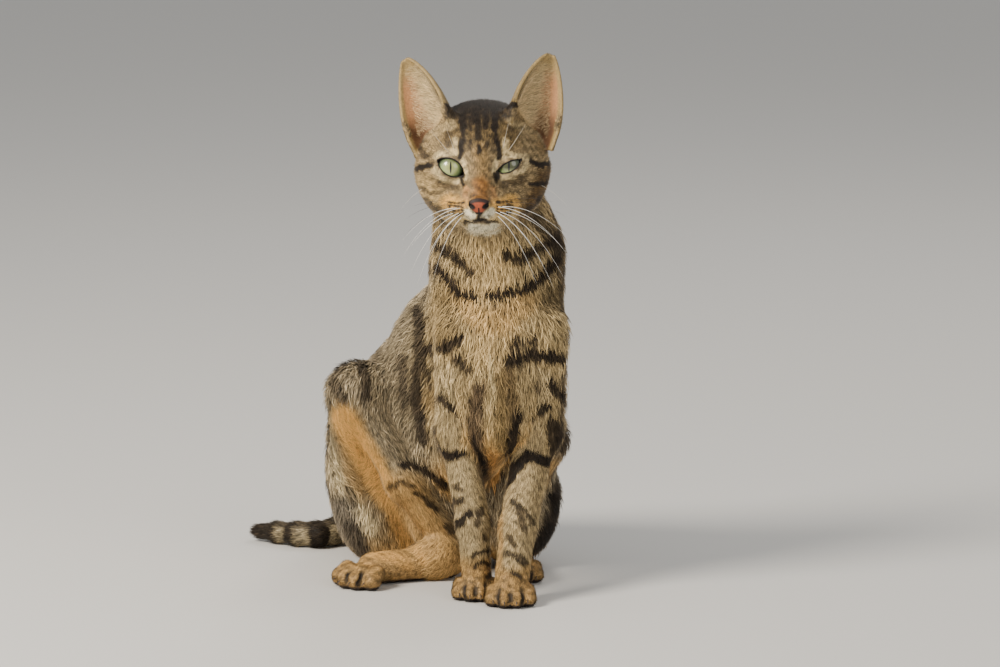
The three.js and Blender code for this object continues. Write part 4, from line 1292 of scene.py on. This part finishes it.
def coat_kind(points, limb):
    """At each point: tufts to the square millimetre, their length and their width, in millimetres."""
    x, y, z = points.T
    hx, hy, hz = to_head(x, y, z)
    name = np.array(LIMBS)[limb]
    head = name == "head"
    legs = np.isin(name, ["foreleg_right", "foreleg_left"])
    soft = smooth_step(28, 16, path_distance(*view_pixels(points), INNER_THIGH)) * (y < 120)
    shares = {
        "chest": smooth_step(40, 10, y) * (name == "trunk") * smooth_step(60, 110, z),
        "foreleg": legs * smooth_step(150, 90, z),
        "hind leg": 0.8 * ((name == "shank_right") | ((name == "thigh_left") & (z < 50))),
        "foot": np.isin(name, ["foot_right", "foot_left"]) | (legs & (z < 26)),
        "inner thigh": 0.9 * soft * np.isin(name, HAUNCH_R.split()),
        "head": head,
        "face": head * smooth_step(6, -16, hy),
        "muzzle": head * smooth_step(-36, -46, hy),
        "beside the ear": head * smooth_step(20, 27, np.abs(hx)) * smooth_step(2, 14, hz),
        "tail": name == "tail",
    }
    kind = plain(KINDS["body"], len(points))
    for place, share in shares.items():
        kind = mix(kind, KINDS[place], share)
    return kind.T


def place_tufts(points, normals, triangles):
    """Roots over the skin, drawn triangle by triangle with the coat's own density."""
    draw = np.random.default_rng(20)
    a, b, c = (points[triangles[:, i]] for i in range(3))
    middle = (a + b + c) / 3
    area = 0.5 * np.linalg.norm(np.cross(b - a, c - a), axis=1)
    limb, _ = nearest_masses(middle)
    density, _, _ = coat_kind(middle, limb)
    away = draw.random(len(triangles))
    density = np.where(on_any_ear(middle), EAR_DENSITY, density)
    density = np.where(bare_nose(middle) | (lid_edge(middle) < LID_RIM - 0.1), 0, density)
    density = np.where(middle[:, 2] < GROUND + 0.6, 0, density)
    number = np.floor(area * density + away).astype(int)
    chosen = np.repeat(np.arange(len(triangles)), number)
    p, q = draw.random(len(chosen)), draw.random(len(chosen))
    over = p + q > 1
    p, q = np.where(over, 1 - p, p), np.where(over, 1 - q, q)
    parts = list(zip((p, q, 1 - p - q), triangles[chosen].T))
    root = sum(part[:, None] * points[corner] for part, corner in parts)
    up = sum(part[:, None] * normals[corner] for part, corner in parts)
    return root, up / np.linalg.norm(up, axis=1)[:, None]


def ear_coat(points, lie, length, width, keep, draw):
    """The ears' coat: short and run to the tip behind, long pale hairs within from the inner rim, else bare.

    Sets the lie, length and width of the tufts there, and which are kept, and tells which are pale.
    """
    pale = np.zeros(len(points), bool)
    for ear, here, t, around, inside in on_ear(points):
        _, _, up, across, _ = ear_frame(ear)
        outer = -around * ear["side"]
        lie[here] = up
        length[here] = np.where((t[here] > 0.9) | (np.abs(around[here]) > 0.9), 1.1, 1.9)
        width[here] = 0.36
        within = here & (inside <= 0)
        fan = within & (outer < 0.45 - 0.35 * (t - 0.5)) & (outer > -0.97) & (t < 0.84)
        lie[fan] = 0.6 * up - 0.8 * across * ear["side"]
        length[fan] = 3.5 + 5.5 * smooth_step(0.4, -0.7, outer[fan]) * smooth_step(0.85, 0.4, t[fan])
        width[fan] = 0.34
        pale |= fan
        bare = within & ~fan & (outer > 0.2) & (np.abs(around) < 0.88) & (t < 0.85)
        keep[bare] = draw.random(bare.sum()) < 0.10
        length[bare] = 2.0
    return pale


def all_tufts(points, normals, triangles):
    """Everything about each tuft: root, way up, lie, length, width, limb, colour and place on the map."""
    draw = np.random.default_rng(21)
    root, up = place_tufts(points, normals, triangles)
    limb, lie = nearest_masses(root)
    _, length, width = coat_kind(root, limb)
    keep = np.ones(len(root), bool)
    pale = ear_coat(root, lie, length, width, keep, draw)
    length = length * (1 - 0.6 * smooth_step(5, 1, lid_edge(root)))
    root, up, limb, lie = root[keep], up[keep], limb[keep], lie[keep]
    length, width, pale = length[keep], width[keep], pale[keep]
    count = len(root)
    lie = lie - up * np.sum(lie * up, axis=1)[:, None]
    lie /= np.linalg.norm(lie, axis=1)[:, None] + 1e-9
    swing = TUFT_SWING * (draw.normal(size=count) + 0.9 * ripple(root, 9, 22))
    across = np.cross(lie, up)
    lie = lie * np.cos(swing)[:, None] + across * np.sin(swing)[:, None]
    length = length * (1 + LENGTH_SPREAD * draw.normal(size=count)).clip(0.5, 1.6)
    width = width * (1 + WIDTH_SPREAD * draw.normal(size=count)).clip(0.6, 1.5)
    # tips near the ground lie along it
    lie[:, 2] = np.maximum(lie[:, 2], (GROUND + 0.3 - root[:, 2]) / length)
    lie /= np.linalg.norm(lie, axis=1)[:, None]
    colour = coat_colours(root + lie * length[:, None] * 0.55, up, limb)
    colour = cover(colour, pale, mix(colour, EAR_HAIR, np.full(count, 0.7)))
    uv = charts(root, up, limb).clip(PATCH, 1 - PATCH)
    tufts = {"root": root, "up": up, "lie": lie, "length": length, "width": width}
    return {**tufts, "limb": limb, "colour": colour, "uv": uv}


def tuft_corners(tufts, short, draw):
    """The corners of closed three-sided tufts, and the way that each corner is shaded to face.

    Long tufts have a middle ring that bends them over, and short ones are spikes.
    """
    root, up, lie, length, width = (tufts[key] for key in ("root", "up", "lie", "length", "width"))
    n = len(root)
    across = np.cross(lie, up)
    rise = TUFT_BEND[0] * (1 + 0.3 * draw.normal(size=n)).clip(0.3, 1.8)
    ease = TUFT_BEND[1] * (1 + 0.6 * draw.normal(size=n))
    half = 0.5 * length[:, None]
    drift = (0.10 * draw.normal(size=n) * length)[:, None] * across
    middle = root + (lie * np.cos(rise)[:, None] + up * np.sin(rise)[:, None]) * half
    tip = middle + (lie * np.cos(ease)[:, None] + up * np.sin(ease)[:, None]) * half + drift
    w = width[:, None]

    def ring(centre, wide, high):
        return [centre - across * w * wide, centre + across * w * wide, centre + up * w * high]

    middle_ring = [] if short else ring(middle, 0.46, 0.42)
    corners = [*ring(root - up * TUFT_SINK, 0.5, 0.45), *middle_ring, tip]
    corners = np.stack(corners, axis=1).reshape(-1, 3)
    corners[:, 2] = np.maximum(corners[:, 2], GROUND)
    soft = [up - across * 0.5, up + across * 0.5, up * 1.2] * (1 if short else 2) + [up + lie * 0.35]
    soft = np.stack(soft, axis=1).reshape(-1, 3)
    return corners, soft / np.linalg.norm(soft, axis=1)[:, None]


def tuft_shades(tufts, short, draw):
    """The colour at each corner: roots darkened as painted shade deep in the coat, and tips that are paler or
    darker than the rest.
    """
    colour, length = tufts["colour"], tufts["length"]
    even = smooth_step(0.46, 0.58, 1 - colour[:, 2] / colour[:, 0])
    spread = (0.19 - 0.05 * smooth_step(3, 7, length)) * (1 - 0.6 * even)
    bright = (0.97 + 0.05 * even + spread * draw.normal(size=len(colour))).clip(0.5, 1.5)[:, None]
    kind = (draw.random(len(colour)) + 0.6 * even)[:, None]
    tone = colour * bright
    mean = colour.mean(axis=1)
    pale_end = tone * 1.2 + np.array([16, 12, 5]) * smooth_step(40, 100, mean)[:, None]
    end = np.where(kind < PALE_DRAW, pale_end, np.where(kind < DARK_DRAW, tone * 0.55, tone * 1.08))
    # painted shade at the roots, less on short tufts and on orange or pale ones
    lift = np.maximum(0.24 * even, 0.16 * smooth_step(190, 230, mean))
    base = (0.72 + 0.16 * smooth_step(5, 1.5, length) + lift)[:, None].clip(0, 1)
    shades = [tone * base] * 3 + [tone * 1.03] * (0 if short else 3) + [end]
    return linear(within_white(np.stack(shades, axis=1).reshape(-1, 3)))


def set_colours(mesh, colours):
    layer = mesh.color_attributes.new("coat_colour", "FLOAT_COLOR", "POINT")
    rgba = np.ones((len(colours), 4))
    rgba[:, :3] = colours
    layer.data.foreach_set("color", rgba.ravel())


def tuft_mesh(name, short, tufts, seed):
    draw = np.random.default_rng(seed)
    faces, spots = (SPIKE, SPIKE_SPOTS) if short else (LOCK, LOCK_SPOTS)
    corners, soft = tuft_corners(tufts, short, draw)
    starts = len(spots) * np.arange(len(tufts["root"]))
    loops = (np.array(faces)[None] + starts[:, None, None]).reshape(-1)
    mesh = bpy.data.meshes.new(name)
    mesh.vertices.add(len(corners))
    mesh.vertices.foreach_set("co", in_frame(corners).ravel())
    mesh.loops.add(len(loops))
    mesh.loops.foreach_set("vertex_index", loops.astype(np.int32))
    mesh.polygons.add(len(loops) // 3)
    mesh.polygons.foreach_set("loop_start", np.arange(0, len(loops), 3, dtype=np.int32))
    mesh.polygons.foreach_set("use_smooth", np.ones(len(loops) // 3, bool))
    mesh.update(calc_edges=True)
    mesh.normals_split_custom_set_from_vertices(soft)
    set_colours(mesh, tuft_shades(tufts, short, draw))
    place = (tufts["uv"][:, None, :] + np.array(spots)[None] * PATCH).reshape(-1, 2)
    layer = mesh.uv_layers.new(name="OFBake")
    layer.data.foreach_set("uv", place[loops].ravel())
    return mesh


# ---- Pieces ----

FLESH_NODES = [
    "head", "lower_jaw", "nose", "ear_left", "ear_right", "neck", "chest", "belly", "rump",
    "shoulder_left", "forearm_left", "forepaw_left", "thigh_left", "hind_foot_left",
    "shoulder_right", "forearm_right", "forepaw_right", "thigh_right", "hind_foot_right",
    "shank_right", "tail_base", "tail_middle", "tail_tip",
]


def link(name, data):
    made = bpy.data.objects.new(name, data)
    bpy.context.scene.collection.objects.link(made)
    return made


def add(name, mesh, look):
    """A piece of the cat, in one material."""
    made = link(name, mesh)
    mesh.materials.append(look)
    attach(made, "root")
    return made


def add_coat(points, normals, triangles):
    tufts = all_tufts(points, normals, triangles)
    look = material("coat", 0.62, coat_material)
    name = np.array(LIMBS)[tufts["limb"]]
    small = tufts["length"] < SHORT
    made = 0
    for title, limbs in REGIONS.items():
        for short, most in ((False, MOST_LOCKS), (True, MOST_SPIKES)):
            mine = np.flatnonzero(np.isin(name, limbs) & (small == short))
            if not len(mine):
                continue
            mine = mine[np.argsort(tufts["root"][mine, 2], kind="stable")]
            for k, some in enumerate(np.array_split(mine, math.ceil(len(mine) / most))):
                piece = title + ("_short_" if short else "_") + str(k + 1)
                share = {key: values[some] for key, values in tufts.items()}
                add(piece, tuft_mesh(piece, short, share, 100 + made), look)
                made += 1


def add_skin_and_coat():
    mesh = skin_mesh()
    skin = add("skin", mesh, material("skin", 0.6, skin_material))
    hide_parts(*FLESH_NODES)
    points = in_design(read(mesh.vertices, "co", 3))
    normals = read(mesh.vertices, "normal", 3)
    mesh.calc_loop_triangles()
    triangles = read(mesh.loop_triangles, "vertices", 3, np.int32)
    limb, _ = nearest_masses(points)
    set_colours(mesh, linear(skin_colours(points, normals, limb)))
    add_coat(points, normals, triangles)


EYE_RINGS, EYE_STEPS = 48, 64
CORNEA_RISE, CORNEA_EDGE = 0.7, 0.62  # how far the cornea swells, and the cosine of the angle it reaches to


def eye_mesh(name):
    """An eyeball whose front swells into the cornea, with the gaze along its pole."""
    centre = from_head(EYES[name])
    points, faces, spots = [], [], []
    for i in range(EYE_RINGS + 1):
        a = math.pi * i / EYE_RINGS
        swell = CORNEA_RISE * max(0, math.cos(a) - CORNEA_EDGE) / (1 - CORNEA_EDGE)
        r = EYE_RADIUS - 0.15 + swell
        for j in range(EYE_STEPS):
            b = 2 * math.pi * j / EYE_STEPS
            p, q = math.sin(a) * math.cos(b), math.sin(a) * math.sin(b)
            points.append(in_frame(centre + r * (math.cos(a) * GAZE + p * EYE_SIDE + q * EYE_OVER)))
            spots.append((p, q, math.cos(a)))
    for i in range(EYE_RINGS):
        low, high = i * EYE_STEPS, (i + 1) * EYE_STEPS
        for j in range(EYE_STEPS):
            k = (j + 1) % EYE_STEPS
            faces.append([low + j, high + j, high + k, low + k])
    mesh = plain_mesh(name, [tuple(point) for point in points], faces)
    place = mesh.attributes.new("iris_place", "FLOAT_VECTOR", "POINT")
    place.data.foreach_set("vector", np.array(spots).ravel())
    mesh.update()
    bm = bmesh.new()
    bm.from_mesh(mesh)
    bmesh.ops.remove_doubles(bm, verts=bm.verts, dist=1e-6)
    bmesh.ops.recalc_face_normals(bm, faces=bm.faces)
    bm.to_mesh(mesh)
    bm.free()
    return mesh


def add_eyes():
    for name in EYES:
        iris = material(name + "_iris", 0.25, eye_material, *LID_SHADE[name])
        ball = add(name + "_ball", eye_mesh(name), iris)
        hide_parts(name)


# Root in the head's frame for the side x > 0, way it sets out, length, droop, and its tone.
WHISKERS = [
    [(12.5, -47.5, -20.5), (0.80, 0.05, -0.10), 46, 0.62, "white"],
    [(15.0, -45.0, -20.8), (0.85, 0.20, -0.05), 44, 0.50, "white"],
    [(10.5, -49.0, -23.5), (0.72, -0.10, -0.30), 42, 0.80, "white"],
    [(13.5, -47.0, -24.0), (0.80, 0.10, -0.28), 44, 0.70, "white"],
    [(16.0, -44.0, -24.2), (0.85, 0.28, -0.22), 40, 0.45, "white"],
    [(12.0, -47.5, -26.8), (0.62, 0.05, -0.60), 34, 0.60, "white"],
    [(15.0, -45.0, -27.0), (0.70, 0.25, -0.50), 32, 0.50, "white"],
    [(17.5, -42.0, -19.5), (0.90, 0.30, 0.05), 38, 0.35, "dark"],
    [(18.0, -41.5, -22.5), (0.90, 0.38, -0.10), 40, 0.40, "dark"],
    [(17.0, -42.0, -17.5), (0.92, 0.30, 0.12), 32, 0.25, "dark"],
    [(20.0, -27.0, 13.5), (0.55, -0.30, 0.75), 20, -0.10, "fine"],
    [(16.0, -28.5, 15.0), (0.25, -0.35, 0.90), 17, -0.05, "fine"],
    [(36.0, -12.0, -12.0), (0.80, -0.10, -0.35), 22, 0.30, "fine"],
]
# Colour and thickness at the root of each tone.
WHISKER_TONES = {
    "white": ((250, 248, 242), 0.21),
    "dark": ((60, 52, 46), 0.17),
    "fine": ((238, 230, 214), 0.13),
}
WHISKER_STEPS = 14
TUBE_SIDES = 5
CLAW_STEPS, CLAW_LENGTH, CLAW_DROP, CLAW_THICK = 7, 4.2, 1.9, 0.85
CLAW_BROWN = (92, 80, 70)


def whisker_line(root, way, length, droop, side):
    """The middle line of a whisker: it sets out along its way and droops or rises as it goes."""
    s = np.linspace(0, 1, WHISKER_STEPS)[:, None]
    length = length * (1 + 0.07 * side)  # the two sides differ a little
    way = unit([side * way[0], way[1], way[2]])
    start = np.array([side * root[0], root[1], root[2]])
    line = start + way * length * s + np.array([-side * 0.12, 0.10, -1.0]) * droop * length * s**2
    return line @ HEAD.T + HEAD_AT


def tube_mesh(name, lines, thick):
    """Closed five-sided tubes along the lines, tapering to a point."""
    points, faces = [], []
    for line in lines:
        ahead = np.gradient(line, axis=0)
        ahead /= np.linalg.norm(ahead, axis=1)[:, None]
        side = np.cross(ahead, [0, 0.3, 1])
        side /= np.linalg.norm(side, axis=1)[:, None]
        over = np.cross(side, ahead)
        start = len(points)
        for i, point in enumerate(line):
            r = thick * (1 - i / len(line)) ** 0.8
            for j in range(TUBE_SIDES):
                a = 2 * math.pi * j / TUBE_SIDES
                points.append(point + r * (math.cos(a) * side[i] + math.sin(a) * over[i]))
        for low in range(start, len(points) - TUBE_SIDES, TUBE_SIDES):
            high = low + TUBE_SIDES
            for j in range(TUBE_SIDES):
                k = (j + 1) % TUBE_SIDES
                faces.append([low + j, low + k, high + k, high + j])
        faces.append([start + j for j in reversed(range(TUBE_SIDES))])
        faces.append([len(points) - TUBE_SIDES + j for j in range(TUBE_SIDES)])
    return plain_mesh(name, in_frame(np.array(points)).tolist(), faces)


def add_whiskers():
    for tone, (tint, thick) in WHISKER_TONES.items():
        own = [shape for *shape, its_tone in WHISKERS if its_tone == tone]
        lines = [whisker_line(*shape, side) for shape in own for side in (1, -1)]
        look = material("whisker_" + tone, 0.35, streaked_material, tint, 0.12)
        add("whiskers_" + tone, tube_mesh("whiskers_" + tone, lines, thick), look)


def add_claws():
    """A short dark claw at the end of each toe, hooked down and mostly sheathed in the coat."""
    lines = []
    s = np.linspace(0, 1, CLAW_STEPS)[:, None]
    for _, ball, degrees, spread, toe in PAWS:
        ahead, side = paw_ways(degrees)
        for across, reach in TOES:
            start = np.array(ball) + side * across * spread + ahead * (reach + toe - 2.6) + [0, 0, -0.6]
            lines.append(start + ahead * CLAW_LENGTH * s + np.array([0, 0, -CLAW_DROP]) * s**2)
    look = material("claw", 0.3, streaked_material, CLAW_BROWN, 0.35)
    add("claws", tube_mesh("claws", lines, CLAW_THICK), look)


# ---- Camera, floor and light ----

SENSOR = 36.0
FLOOR_HALF, FLOOR_GREY = 6, (0.62, 0.61, 0.59, 1)
STUDIO_WHITE, STUDIO_STRENGTH = (0.93, 0.93, 0.92, 1), 0.55
LIGHTS = [  # name, azimuth, elevation, distance, size, power, colour
    ["key", -50, 38, 2.2, 0.8, 76, (1.0, 0.92, 0.80)],
    ["fill", 40, 25, 2.6, 1.6, 15, (1.0, 0.97, 0.92)],
    ["rim", 150, 50, 2.4, 1.0, 12, (1.0, 0.96, 0.90)],
]
LIGHT_AIM = Vector((0, 0, 0.15))


def look_along(made, aim, back, distance):
    """Puts an object at a distance back from its aim, looking at it."""
    made.location = aim + back * distance
    made.rotation_euler = (-back).to_track_quat("-Z", "Y").to_euler()


def set_camera():
    lens = bpy.data.cameras.new("view")
    lens.lens, lens.sensor_width, lens.clip_end = VIEW_PIXELS * SENSOR / IMAGE_WIDTH, SENSOR, 50
    camera = link("view", lens)
    back = Vector((0, -math.cos(VIEW_UP), math.sin(VIEW_UP)))
    look_along(camera, Vector(in_frame(VIEW_AIM)), back, VIEW_FAR / 1000)
    bpy.context.scene.camera = camera


def set_lights():
    for name, azimuth, elevation, distance, size, power, colour in LIGHTS:
        data = bpy.data.lights.new(name, "AREA")
        data.shape, data.size, data.energy, data.color = "DISK", size, power, colour
        a, e = math.radians(azimuth), math.radians(elevation)
        back = Vector((math.sin(a) * math.cos(e), -math.cos(a) * math.cos(e), math.sin(e)))
        look_along(link(name, data), LIGHT_AIM, back, distance)


def set_stage():
    corners = [(x * FLOOR_HALF, y * FLOOR_HALF, 0) for x, y in ((-1, -1), (1, -1), (1, 1), (-1, 1))]
    mesh = bpy.data.meshes.new("floor")
    mesh.from_pydata(corners, [], [(0, 1, 2, 3)])
    mesh.materials.append(material("floor", 0.85, lambda tree: {"Base Color": FLOOR_GREY}))
    floor = link("floor", mesh)
    world = bpy.data.worlds.new("studio")
    world.use_nodes = True
    light = world.node_tree.nodes["Background"]
    light.inputs["Color"].default_value = STUDIO_WHITE
    light.inputs["Strength"].default_value = STUDIO_STRENGTH
    bpy.context.scene.world = world


add_skin_and_coat()
add_eyes()
add_whiskers()
add_claws()
set_camera()
set_stage()
set_lights()
